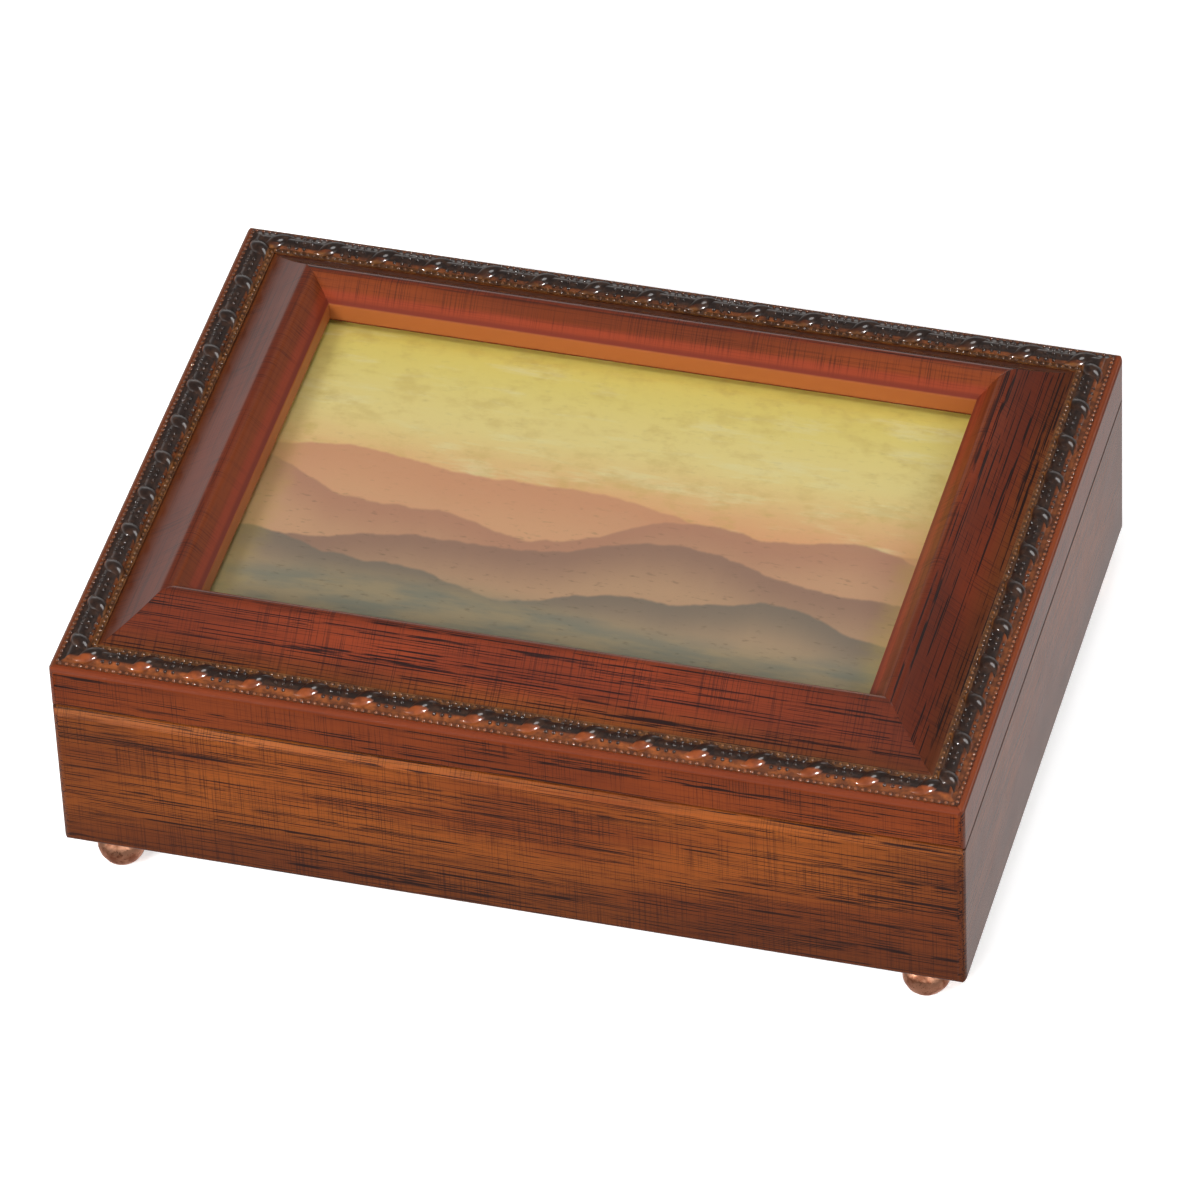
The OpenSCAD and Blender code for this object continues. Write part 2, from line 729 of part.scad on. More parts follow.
module leaf_screw_holes(up) {
  leaf_screw_places() mirror([0, 0, up > 0 ? 1 : 0])
    translate([0, 0, -lid_gap / 2 - leaf_screw_l - fit])
      cylinder(r = leaf_screw_r + fit, h = leaf_screw_l + lid_gap);
}

module leaf_screws(up) {
  leaf_screw_places() mirror([0, 0, up > 0 ? 1 : 0])
    translate([0, 0, -lid_gap / 2]) flush_screw(leaf_head_r, leaf_t, leaf_screw_r, leaf_screw_l);
}

// Stretches of the barrel that belong to the base (outer two) or the lid (middle one)
module knuckles(of_lid, r) {
  mid = hinge_l * knuckle_share;
  end = (hinge_l - mid) / 2 - knuckle_gap;
  if (of_lid) rotate([0, 90, 0]) cylinder(r = r, h = mid, center = true);
  else for (sx = [-1, 1])
    translate([sx * (hinge_l - end) / 2, 0, 0]) rotate([0, 90, 0]) cylinder(r = r, h = end, center = true);
}

// Stretches left free for the other leaf's knuckles
module knuckle_room(of_lid) {
  mid = hinge_l * knuckle_share;
  end = (hinge_l - mid) / 2;
  r = barrel_out + barrel_room;
  if (of_lid) for (sx = [-1, 1])
    translate([sx * (mid + end + over) / 2, 0, 0]) rotate([0, 90, 0])
      cylinder(r = r, h = end + over, center = true);
  else rotate([0, 90, 0]) cylinder(r = r, h = mid + 2 * knuckle_gap, center = true);
}

module hinge_leaf(up) {
  color([0.72, 0.56, 0.28]) difference() {
    union() {
      difference() {
        translate([-hinge_l / 2, -leaf_d, up > 0 ? lid_gap / 2 : -lid_gap / 2 - leaf_t])
          cube([hinge_l, leaf_d, leaf_t]);
        knuckle_room(up > 0);
      }
      knuckles(up > 0, barrel_out);
    }
    rotate([0, 90, 0]) cylinder(r = hinge_pin_r + run, h = hinge_l + over, center = true);
    leaf_screw_places() mirror([0, 0, up > 0 ? 1 : 0]) {
      translate([0, 0, -lid_gap / 2 - leaf_t]) cylinder(r1 = leaf_screw_r + fit,
        r2 = leaf_head_r + fit, h = leaf_t + fit);
      translate([0, 0, -lid_gap / 2 - leaf_t - over]) cylinder(r = leaf_screw_r + fit, h = leaf_t + over);
    }
  }
}

module hinge_pin() {
  color([0.72, 0.56, 0.28]) rotate([0, 90, 0]) cylinder(r = hinge_pin_r, h = hinge_l, center = true);
}

module hinge_base_leaf_left() { hinge_place(-1) hinge_leaf(-1); }
module hinge_base_leaf_right() { hinge_place(1) hinge_leaf(-1); }
module hinge_lid_leaf_left() { hinge_place(-1) hinge_leaf(1); }
module hinge_lid_leaf_right() { hinge_place(1) hinge_leaf(1); }
module hinge_pin_left() { hinge_place(-1) hinge_pin(); }
module hinge_pin_right() { hinge_place(1) hinge_pin(); }
module hinge_screws_base() { color([0.72, 0.56, 0.28]) hinge_places() leaf_screws(-1); }
module hinge_screws_lid() { color([0.72, 0.56, 0.28]) hinge_places() leaf_screws(1); }

module comb_screw_places() {
  for (s = [0.25, 0.75])
    translate([comb_root + comb_back / 2, comb_y + s * comb_w, zc + comb_t / 2]) children();
}

module comb_screw_holes() {
  comb_screw_places() translate([0, 0, -comb_screw_l - fit])
    cylinder(r = comb_screw_r + fit, h = comb_screw_l + over);
}

module gov_screw_places() {
  for (s = [-1, 1])
    translate([gx, wheel_y + s * plate_gap / 4, z_bed + plate_t]) children();
}

module gov_screw_holes() {
  gov_screw_places() translate([0, 0, -plate_t - bed_t / 2 - fit])
    cylinder(r = gov_screw_r + fit, h = plate_t + bed_t / 2 + over);
}

module bedplate() {
  color([0.68, 0.66, 0.60]) difference() {
    union() {
      translate([mx - bed_left, move_y - bed_l / 2, z_floor]) cube([bed_left + bed_right, bed_l, bed_t]);
      translate([comb_root, comb_y - over, z_floor])
        cube([comb_back, comb_w + 2 * over, zc - comb_t / 2 - z_floor]);
      translate([wx, wheel_y, z_floor]) cylinder(r = shaft_r + boss_wall, h = bed_t + boss_h);
    }
    translate([mx, by, z_floor - over]) cylinder(r = wind_r + run, h = bed_t + 2 * over);
    translate([wx, wheel_y, z_bed - fit]) cylinder(r = shaft_r + run, h = boss_h + over);
    bed_screw_places() translate([0, 0, z_floor - over])
      cylinder(r = bed_screw_r + fit, h = bed_t + 2 * over);
    comb_screw_holes();
    gov_screw_holes();
  }
}

module bedplate_screws() {
  color([0.60, 0.60, 0.58]) bed_screw_places() translate([0, 0, z_under]) mirror([0, 0, 1])
    screw(bed_head_r, bed_head_h, bed_screw_r, floor_t + bed_t);
}

module barrel_bridge() {
  lug = arbor_r + bear_wall;
  leg_in = barrel_r + 2 * pass;
  color([0.68, 0.66, 0.60]) difference() {
    union() {
      translate([mx - leg_in - leg_w, bridge_y, z_bridge])
        cube([2 * (leg_in + leg_w), bridge_t, zc - arbor_r - z_bridge]);
      translate([mx - lug, bridge_y, z_bridge]) cube([2 * lug, bridge_t, zc + lug - z_bridge]);
      translate([mx - lug, by - lug, z_bridge]) cube([2 * lug, bridge_off + lug + bridge_t / 3, bridge_t]);
      for (sx = [-1, 1])
        translate([mx + sx * (leg_in + leg_w / 2) - leg_w / 2, bridge_y, z_bed])
          cube([leg_w, bridge_t, zc - arbor_r - z_bed]);
    }
    translate([mx, by, z_bridge - over]) cylinder(r = wind_pivot_r + run, h = bridge_t + 2 * over);
    translate([mx, bridge_y - over, zc]) rotate([-90, 0, 0])
      cylinder(r = arbor_r + run, h = bridge_t + 2 * over);
  }
}

module comb() {
  step = comb_w / comb_n;
  color([0.72, 0.73, 0.75]) difference() {
    translate([comb_x, comb_y, zc - comb_t / 2]) cube([tooth_long + comb_back, comb_w, comb_t]);
    for (i = [1:comb_n - 1])
      translate([comb_x - over, comb_y + i * step - comb_slit / 2, zc - comb_t])
        cube([over + tooth_long + (tooth_short - tooth_long) * i / comb_n, comb_slit, 2 * comb_t]);
    comb_screw_holes();
  }
}

module comb_screws() {
  color([0.60, 0.60, 0.58]) comb_screw_places()
    screw(comb_head_r, comb_head_h, comb_screw_r, comb_screw_l);
}

module governor_frame() {
  side = shaft_r + gov_wall;
  ear = shaft_r + ear_wall;
  top = z_lug + lug_h;
  bear = zc + arbor_r + bear_wall;
  color([0.68, 0.66, 0.60]) difference() {
    union() {
      translate([gx - side, plate_y, z_bed]) cube([mx + side - gx + side, plate_t, top - z_bed]);
      translate([mx - pivot_in - ear, plate_y, z_bed]) cube([pivot_in + ear + side, plate_t, bear - z_bed]);
      translate([mx - pivot_in - ear, plate_y, bear - over])
        cube([2 * ear, plate_t, z_pivot + ear - bear + over]);
      translate([gx - side, rear_y, z_bed]) cube([2 * side, plate_t, top - z_bed]);
      translate([gx - side, plate_y, z_bed]) cube([2 * side, rear_y - plate_y + plate_t, plate_t]);
      for (y = [plate_y, rear_y])
        translate([wx - lug_w / 2, y, gz + wheel_r / 2]) cube([gx - wx, plate_t, top - gz - wheel_r / 2]);
      translate([wx - lug_w / 2, plate_y, z_lug]) cube([lug_w, rear_y - plate_y + plate_t, lug_h]);
    }
    translate([mx, plate_y - over, zc]) rotate([-90, 0, 0])
      cylinder(r = arbor_r + run, h = plate_t + 2 * over);
    translate([gx, plate_y - over, gz]) rotate([-90, 0, 0])
      cylinder(r = shaft_r + run, h = rear_y - plate_y + plate_t + 2 * over);
    translate([mx - pivot_in, plate_y - over, z_pivot]) rotate([-90, 0, 0])
      cylinder(r = shaft_r + fit, h = plate_t + 2 * over);
    translate([wx, wheel_y, z_lug - over]) cylinder(r = shaft_r + run, h = lug_h + 2 * over);
    gov_screw_holes();
  }
}

module governor_screws() {
  color([0.60, 0.60, 0.58]) gov_screw_places()
    screw(gov_head_r, gov_head_h, gov_screw_r, plate_t + bed_t / 2);
}

module stop_pivot() {
  color([0.60, 0.60, 0.58]) translate([mx - pivot_in, plate_y, z_pivot]) rotate([-90, 0, 0]) {
    cylinder(r = shaft_r, h = lever_y + lever_t + pass - plate_y);
    translate([0, 0, lever_y + lever_t + pass / 2 - plate_y])
      cylinder(r = shaft_r + eye_wall, h = pivot_head_h);
  }
}

module winding_arbor() {
  color([0.60, 0.60, 0.58]) translate([mx, by, 0]) {
    translate([0, 0, wing_z - wing_r + over])
      cylinder(r = wind_r, h = z_bridge - pass - wing_z + wing_r - over);
    translate([0, 0, z_crown]) cylinder(r = wind_pivot_r, h = z_bridge + bridge_t - z_crown);
    translate([0, 0, z_bed + pass / 4]) cylinder(r = wind_r + wind_collar, h = pass / 2);
  }
}

module winding_key() {
  color([0.78, 0.62, 0.32]) translate([mx, by, 0]) difference() {
    union() {
      translate([0, 0, z_under - over - hub_l]) cylinder(r = hub_r, h = hub_l);
      translate([0, 0, wing_z]) rotate([90, 0, 0]) linear_extrude(wing_t, center = true) difference() {
        union() {
          square([2 * wing_out, wing_r], center = true);
          for (sx = [-1, 1]) translate([sx * wing_out, 0]) circle(r = wing_r);
        }
        for (sx = [-1, 1]) translate([sx * wing_out, 0]) circle(r = eye_r);
      }
    }
    translate([0, 0, wing_z - wing_r + over - fit]) cylinder(r = wind_r + fit, h = 2 * wing_r + 2 * over);
  }
}

module spring_barrel() {
  half = PI * crown_r / crown_n / 2 * slim;
  lean = tan(press_deg) * crown_m;
  color([0.76, 0.62, 0.34]) translate([mx, by, 0]) difference() {
    union() {
      translate([0, 0, z_drum]) cylinder(r = barrel_r, h = barrel_h);
      for (i = [0:crown_n - 1]) rotate([0, 0, 90 + (i + 0.5) * 360 / crown_n])
        translate([crown_r - crown_l / 2, 0, z_crown + tooth_down * crown_m]) rotate([90, 0, 90])
          linear_extrude(crown_l) polygon([
            [-half - tooth_down * lean, -tooth_down * crown_m - barrel_wall / 2],
            [half + tooth_down * lean, -tooth_down * crown_m - barrel_wall / 2],
            [half - tooth_up * lean, tooth_up * crown_m],
            [tooth_up * lean - half, tooth_up * crown_m]]);
    }
    translate([0, 0, z_drum - over]) cylinder(r = barrel_r - barrel_wall, h = barrel_h - barrel_wall + over);
    translate([0, 0, z_drum]) cylinder(r = wind_r + run, h = barrel_h + over);
  }
}

module barrel_cap() {
  color([0.76, 0.62, 0.34]) translate([mx, by, z_drum]) difference() {
    cylinder(r = barrel_r - barrel_wall, h = barrel_wall);
    translate([0, 0, -over]) cylinder(r = wind_r + run, h = barrel_wall + 2 * over);
  }
}

module mainspring() {
  steps = 18 * spring_turns;
  r0 = wind_r + 3 * pass;
  r1 = barrel_r - barrel_wall - spring_t;
  path = [for (i = [0:steps]) [r0 + (r1 - r0) * i / steps, 360 * spring_turns * i / steps]];
  color([0.45, 0.47, 0.52]) translate([mx, by, z_drum + barrel_wall])
    linear_extrude(barrel_h - 2 * barrel_wall - pass) polygon(concat(
      [for (p = path) polar(p[0], p[1])],
      [for (i = [0:steps]) let (p = path[steps - i]) polar(p[0] + spring_t, p[1])]));
}

module pinned_cylinder() {
  step = comb_w / comb_n;
  color([0.80, 0.66, 0.36]) translate([mx, cyl_y, zc]) rotate([-90, 0, 0]) difference() {
    union() {
      cylinder(r = cyl_r, h = cyl_l);
      for (i = [0:comb_n - 1], k = [0:pins_each - 1])
        translate([0, 0, comb_y - cyl_y + (i + 0.5) * step])
          rotate([0, 90, (i * pin_step + k * pin_beat + i * i * pin_drift) % 360])
            translate([0, 0, cyl_r - pin_deep]) cylinder(r = pin_r, h = pin_deep + pin_h, $fn = 6);
    }
    translate([0, 0, -over]) cylinder(r = arbor_r + fit / 2, h = cyl_l + 2 * over);
  }
}

module cylinder_arbor() {
  front = bridge_y + bridge_t / 6;
  color([0.70, 0.71, 0.73]) {
    translate([mx, front, zc]) rotate([-90, 0, 0]) cylinder(r = arbor_r, h = plate_y + plate_t - front);
    translate([mx, by + crown_r + crown_l / 2 + pass / 4, zc]) rotate([90, 0, 0])
      linear_extrude(crown_l + pass / 2) polygon(gear(pinion_n, crown_m, 270));
  }
}

module cylinder_gear() {
  color([0.76, 0.62, 0.34]) translate([mx, gear_y + gear_t, zc]) rotate([90, 0, 0])
    linear_extrude(gear_t) difference() {
      polygon(gear(gear_n, gear_m, 180 + idler_dip));
      circle(r = arbor_r + fit / 2);
    }
}

module idler_wheel() {
  front = gear_y + pass / 4;
  color([0.88, 0.86, 0.80]) {
    translate([gx, front, gz]) rotate([-90, 0, 0]) cylinder(r = shaft_r, h = rear_y + plate_t - front);
    translate([gx, gear_y + gear_t + pass / 2, gz]) rotate([90, 0, 0])
      linear_extrude(gear_t + pass / 4) polygon(gear(idler_n, gear_m, idler_dip + 180 / idler_n));
    translate([gx, wheel_y + wheel_t / 2, gz]) rotate([90, 0, 0])
      linear_extrude(wheel_t) polygon(gear(wheel_n, gear_m, 180));
  }
}

// One thread of the worm as a swept strip, wound from its lower to its upper end
module worm_thread(turn) {
  each_turn = 14;
  lead = worm_p * worm_starts;
  turns = (worm_l - worm_p) / lead;
  steps = ceil(each_turn * turns);
  half = worm_p / 4 * slim;
  lean = tan(press_deg) * gear_m;
  out = [worm_root - worm_sink, worm_tip, worm_tip, worm_root - worm_sink];
  up = [-half - tooth_down * lean, tooth_up * lean - half, half - tooth_up * lean, half + tooth_down * lean];
  pts = [for (i = [0:steps], j = [0:3]) let (a = 360 * turns * (i / steps - 0.5))
    [out[j] * cos(a + turn), out[j] * sin(a + turn), lead * a / 360 + up[j]]];
  polyhedron(pts, concat(
    [[3, 2, 1, 0]],
    [for (i = [0:steps - 1], j = [0:3]) let (a = 4 * i + j, b = 4 * i + (j + 1) % 4) each
      [[a, b + 4, a + 4], [a, b, b + 4]]],
    [[4 * steps, 4 * steps + 1, 4 * steps + 2, 4 * steps + 3]]));
}

module worm_shaft() {
  color([0.70, 0.71, 0.73]) translate([wx, wheel_y, 0]) {
    translate([0, 0, z_bed + pass / 2]) cylinder(r = shaft_r, h = z_disc + disc_t - z_bed - pass / 2);
    translate([0, 0, gz]) {
      cylinder(r = worm_root, h = worm_l, center = true);
      for (s = [0:worm_starts - 1]) worm_thread(180 / worm_starts + 360 * s / worm_starts);
    }
  }
}

module fan() {
  hub = shaft_r + fan_wall;
  color([0.88, 0.86, 0.80]) translate([wx, wheel_y, 0]) difference() {
    union() {
      translate([0, 0, z_fan]) cylinder(r = hub, h = z_disc + disc_t - z_fan);
      translate([-fan_r, -vane_t / 2, z_fan]) cube([2 * fan_r, vane_t, fan_h]);
      translate([0, 0, z_disc]) cylinder(r = disc_r, h = disc_t);
    }
    translate([0, 0, z_fan - over]) cylinder(r = shaft_r + fit / 2, h = z_disc + disc_t - z_fan + 2 * over);
  }
}

module stop_lever() {
  finger_z = z_disc + disc_t + finger_gap;
  top = z_lid - wire_gap;
  color([0.60, 0.60, 0.58]) difference() {
    union() {
      translate([mx - wire_in, lever_y, z_pivot - lever_w / 2])
        cube([wire_in - pivot_in + weight_out, lever_t, lever_w]);
      for (e = [[-pivot_in, shaft_r + eye_wall], [weight_out - pivot_in, weight_r]])
        translate([mx + e[0], lever_y, z_pivot]) rotate([-90, 0, 0]) cylinder(r = e[1], h = lever_t);
      translate([wx - lever_w / 2, lever_y, finger_z]) cube([lever_w, lever_t, z_pivot - finger_z]);
      translate([mx - wire_in, lever_y + lever_t / 2, z_pivot - lever_w / 2])
        cylinder(r = wire_r, h = top - wire_r - z_pivot + lever_w / 2);
      translate([mx - wire_in, lever_y + lever_t / 2, top - wire_r]) sphere(r = wire_r);
    }
    translate([mx - pivot_in, lever_y - over, z_pivot]) rotate([-90, 0, 0])
      cylinder(r = shaft_r + run, h = lever_t + 2 * over);
  }
}

// Retaining points of one rail; grow adds nothing but lets the slit clear the ends
module point_places(len, reach, grow) {
  for (s = [-1, 1])
    translate([s * point_share * len / 2 - point_l / 2 - grow,
      rebate_in - reach - point_deep - grow, z_back])
      cube([point_l + 2 * grow, point_deep + point_out + 2 * grow, point_t]);
}

module all_points(grow) {
  for (turn = [0, 180]) rotate([0, 0, turn]) point_places(case_w, hd, grow);
  for (turn = [90, 270]) rotate([0, 0, turn]) point_places(case_d, hw, grow);
}

module lid_rail(turn, len, reach) {
  color([0.48, 0.22, 0.14]) difference() {
    rotate([0, 0, turn]) intersection() {
      translate([0, -reach, z_lid]) rotate([90, 0, 90]) linear_extrude(len, center = true)
        polygon(rail_section());
      translate([0, 0, z_lid - over]) linear_extrude(crest_h + 2 * over)
        mitre_plan(len, reach, rail_w + over);
    }
    corner_waste(z_lid, edge_h);
    seam_waste(z_lid, 1);
    all_points(fit);
    if (turn == 180) hinge_places() {
      hinge_pocket(1);
      leaf_screw_holes(1);
    }
  }
}

module lid_rail_front() { lid_rail(0, case_w, hd); }
module lid_rail_right() { lid_rail(90, case_d, hw); }
module lid_rail_back() { lid_rail(180, case_w, hd); }
module lid_rail_left() { lid_rail(270, case_d, hw); }

// A twist of the rope: a spindle laid along X
module twist() {
  bands = 6;
  rotate([0, 90, 0]) rotate_extrude() polygon([for (i = [0:bands])
    [twist_r * sin(180 * i / bands), twist_l * (i / bands - 0.5)]]);
}

module above_deck(h) {
  polygon([[trim_in, deck(trim_in)], [trim_in + trim_w, deck(trim_in + trim_w)],
    [trim_in + trim_w, deck(trim_in + trim_w) + h], [trim_in, deck(trim_in) + h]]);
}

module rope_section() {
  above_deck(trim_t);
  intersection() {
    above_deck(2 * core_r);
    union() {
      translate([rope_a, deck(rope_a)]) circle(r = core_r);
      for (a = [trim_in + pearl_in, trim_in + trim_w - pearl_in])
        translate([a, deck(a) + trim_t]) circle(r = pearl_r);
    }
  }
}

module rope_trim(turn, len, reach) {
  count = round((len - 2 * twist_end) / twist_pitch);
  step = (len - 2 * twist_end) / count;
  color([0.30, 0.17, 0.11]) rotate([0, 0, turn]) intersection() {
    translate([0, -reach, z_lid]) {
      rotate([90, 0, 90]) linear_extrude(len, center = true) rope_section();
      intersection() {
        for (i = [0:count - 1])
          translate([(i - (count - 1) / 2) * step, rope_a, deck(rope_a) + twist_z])
            rotate([0, 0, twist_turn]) twist();
        rotate([90, 0, 90]) linear_extrude(len, center = true) above_deck(4 * twist_r);
      }
    }
    translate([0, 0, z_lid]) linear_extrude(crest_h) mitre_plan(len, reach, rail_w);
  }
}

module rope_trim_front() { rope_trim(0, case_w, hd); }
module rope_trim_right() { rope_trim(90, case_d, hw); }
module rope_trim_back() { rope_trim(180, case_w, hd); }
module rope_trim_left() { rope_trim(270, case_d, hw); }

// A flat sheet that fills the frame's rebate
module sheet(z, t) {
  translate([-pane_w / 2, -pane_d / 2, z]) cube([pane_w, pane_d, t]);
}

module glass_pane() { color([0.85, 0.92, 0.95, 0.25]) sheet(z_lid + glass_z - glass_t, glass_t); }
module picture_card() { color([0.86, 0.78, 0.50]) sheet(z_card, card_t); }

module backing_board() {
  color([0.45, 0.33, 0.22]) difference() {
    sheet(z_back, backing_t);
    all_points(fit);
  }
}

module lid_lining() { color([0.12, 0.03, 0.05]) sheet(z_back - lid_lining_t, lid_lining_t); }
module retaining_points() { color([0.66, 0.66, 0.64]) all_points(0); }

base_front();
base_back();
base_left();
base_right();
base_floor();
foot_front_left();
foot_front_right();
foot_back_left();
foot_back_right();
divider();
cover_cleats();
movement_cover();
cover_screws();
lining_floor();
lining_front();
lining_back();
lining_right();
lining_divider();
hinge_base_leaf_left();
hinge_base_leaf_right();
hinge_pin_left();
hinge_pin_right();
hinge_screws_base();
bedplate();
bedplate_screws();
barrel_bridge();
comb();
comb_screws();
governor_frame();
governor_screws();
stop_pivot();
winding_arbor();
winding_key();
spring_barrel();
barrel_cap();
mainspring();
pinned_cylinder();
cylinder_arbor();
cylinder_gear();
idler_wheel();
worm_shaft();
fan();
stop_lever();
lid_rail_front();
lid_rail_right();
lid_rail_back();
lid_rail_left();
rope_trim_front();
rope_trim_right();
rope_trim_back();
rope_trim_left();
glass_pane();
picture_card();
backing_board();
lid_lining();
retaining_points();
hinge_lid_leaf_left();
hinge_lid_leaf_right();
hinge_screws_lid();
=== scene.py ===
# %% [markdown]
# # A music box with a picture-frame lid
# The box stands on four copper balls, its lid is a picture frame with a carved rope round the
# edge, and a small comb movement plays inside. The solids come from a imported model, so this
# lesson adds what solids alone don't have: wood grain, lacquer, beads, tarnish and light.

import json
import math

import bmesh
import bpy
from mathutils import Matrix, Vector, noise


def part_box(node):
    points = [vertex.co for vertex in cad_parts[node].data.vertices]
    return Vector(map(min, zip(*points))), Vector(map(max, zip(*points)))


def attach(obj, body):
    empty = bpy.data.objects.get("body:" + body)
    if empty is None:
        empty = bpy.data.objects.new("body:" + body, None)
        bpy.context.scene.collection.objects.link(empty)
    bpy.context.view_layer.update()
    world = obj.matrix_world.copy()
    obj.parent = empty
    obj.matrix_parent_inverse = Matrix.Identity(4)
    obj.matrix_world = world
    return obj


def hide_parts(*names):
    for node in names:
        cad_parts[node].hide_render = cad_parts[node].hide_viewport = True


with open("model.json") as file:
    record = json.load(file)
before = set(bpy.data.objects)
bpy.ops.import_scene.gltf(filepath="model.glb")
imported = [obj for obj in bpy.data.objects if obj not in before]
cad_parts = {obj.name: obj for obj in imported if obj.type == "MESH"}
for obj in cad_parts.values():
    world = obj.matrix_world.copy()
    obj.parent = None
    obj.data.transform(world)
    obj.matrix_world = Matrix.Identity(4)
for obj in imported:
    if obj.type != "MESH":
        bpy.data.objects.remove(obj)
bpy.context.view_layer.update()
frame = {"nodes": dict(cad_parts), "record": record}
nodes = frame["nodes"]
record = frame["record"]
body_of = {n: body for body, held in record["behaviour"]["bodies"].items() for n in held}
slot_of = {p["node"]: p["material_slot"] for p in record["subparts"]}
MM = 0.001

# %% [markdown]
# ## The sizes that the pieces share
# Each number below is a level or a distance on the real box, in millimetres: a name in _Z is a
# height, and one in _IN a distance in from the outer edge. What can be measured from a node is
# measured, so that a change in the solids moves the dressing with it; the rest repeats the
# solids' own sizes.

# %% Measure the box


def span(node):
    """Lowest and highest corner of a node, in millimetres."""
    low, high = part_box(node)
    return [v / MM for v in low], [v / MM for v in high]


HALF_W = span("base_right")[1][0]
HALF_D = -span("base_front")[0][1]
LID_Z = span("lid_rail_front")[0][2]
RIM_Z = span("base_front")[1][2]
WALL_Z = span("base_front")[0][2]
LID_EDGE_H = 11.8
DECK_Z = LID_Z + LID_EDGE_H
DECK_RISE = 0.5 / 7.7
DECK_FROM = 1.3
SCOOP_IN = 9.0
CREST_IN = 21.3
RIDGE_IN = 25.2
OPENING_IN = 27.2
TRIM_IN = span("rope_trim_front")[0][1] + HALF_D
TRIM_OUT = span("rope_trim_front")[1][1] + HALF_D
ROPE_IN = (TRIM_IN + TRIM_OUT) / 2
CORE_W = 2.1
CORE_H = 1.25
print("half width", round(HALF_W, 2), "half depth", round(HALF_D, 2), "lid from", round(LID_Z, 2))

# %% [markdown]
# ## The camera
# The photographer stood a little to the right, well above the box, with a long lens, so that
# parallel edges hardly converge. The camera's three axes are written out from its azimuth,
# elevation and roll; a Track To constraint would be shorter, but it can't hold a roll.

# %% Place the camera
AZIMUTH = math.radians(17.008)
ELEVATION = math.radians(42.074)
ROLL = math.radians(-2.798)
DISTANCE = 2165.9
FOCAL_PX = 9740.3
SIDE_STEP = -0.342
RISE_STEP = 17.723
FRAME_PX = 1200
SENSOR = 36.0

back = Vector((math.sin(AZIMUTH) * math.cos(ELEVATION),
               -math.cos(AZIMUTH) * math.cos(ELEVATION), math.sin(ELEVATION)))
level = Vector((math.cos(AZIMUTH), math.sin(AZIMUTH), 0))
upright = back.cross(level)
right = math.cos(ROLL) * level + math.sin(ROLL) * upright
up = math.cos(ROLL) * upright - math.sin(ROLL) * level
eye = back * DISTANCE + right * SIDE_STEP + up * RISE_STEP + Vector((0, 0, WALL_Z))

lens = bpy.data.cameras.new("photo_camera")
lens.sensor_width = SENSOR
lens.lens = FOCAL_PX / FRAME_PX * SENSOR
lens.clip_start, lens.clip_end = 0.05, 50
camera = bpy.data.objects.new("photo_camera", lens)
turn = Matrix((right, up, back)).transposed().to_4x4()
camera.matrix_world = Matrix.Translation(eye * MM) @ turn
bpy.context.scene.collection.objects.link(camera)
bpy.context.scene.camera = camera
print("lens", round(lens.lens, 1), "mm from", round(DISTANCE), "mm")

# %% [markdown]
# ## One small language for nodes
# Node trees get long when every sum is three lines of code. A `Wire` stands for a socket and
# knows +, -, * and /, so a mask reads like the formula that it is. `Tree.node` makes every other
# node: it takes the node's type, then its settings, then what goes into its sockets.

# %% Wires


class Wire:
    """A node's output that can be used in sums."""

    def __init__(self, tree, socket):
        self.tree = tree
        self.socket = socket

    def sum(self, operation, *values):
        sockets = dict(enumerate((self,) + values))
        return self.tree.node("ShaderNodeMath", {"operation": operation}, sockets)

    def __add__(self, other):
        return self.sum("ADD", other)

    def __mul__(self, other):
        return self.sum("MULTIPLY", other)

    def __sub__(self, other):
        return self.sum("SUBTRACT", other)

    def __truediv__(self, other):
        return self.sum("DIVIDE", other)

    def __rsub__(self, other):
        return (self * -1) + other

    def __abs__(self):
        return self.sum("ABSOLUTE")

    __radd__ = __add__
    __rmul__ = __mul__

    def least(self, other):
        return self.sum("MINIMUM", other)

    def most(self, other):
        return self.sum("MAXIMUM", other)

    def wave(self):
        return self.sum("SINE")

    def ramp(self, low, high):
        """0 at low, 1 at high, smooth between."""
        return self.tree.node("ShaderNodeMapRange", {"interpolation_type": "SMOOTHSTEP"},
                              {0: self, 1: low, 2: high})


print("a wire can be used in sums")

# %% Trees


class Tree:
    """A node tree and the one way that nodes are added to it."""

    def __init__(self, tree):
        self.tree = tree

    def node(self, kind, settings=None, sockets=None, out=0):
        """Make a node; a list of wires all go into one socket."""
        made = self.tree.nodes.new(kind)
        for name, value in (settings or {}).items():
            setattr(made, name, value)
        for key, value in (sockets or {}).items():
            wires = value if isinstance(value, list) else [value]
            if not isinstance(wires[0], Wire):
                made.inputs[key].default_value = value
                continue
            for wire in wires:
                self.tree.links.new(wire.socket, made.inputs[key])
        if not made.outputs:
            return None
        return Wire(self, made.outputs[out])

    def parts(self, vector):
        """The x, y and z of a vector: three wires."""
        split = self.node("ShaderNodeSeparateXYZ", None, {0: vector})
        return [Wire(self, s) for s in split.socket.node.outputs]

    def mix(self, first, second, share):
        """A colour between two colours."""
        return self.node("ShaderNodeMix", {"data_type": "RGBA"},
                         {0: share, 6: first, 7: second}, out=2)


print("a tree makes nodes in one way")

# %% Finishes


def srgb(red, green, blue):
    """A colour as a paint chart gives it, 0 to 255, as the linear light that shaders mix."""
    light = [c / 255 for c in (red, green, blue)]
    return [c / 12.92 if c < 0.04045 else ((c + 0.055) / 1.055) ** 2.4 for c in light] + [1]


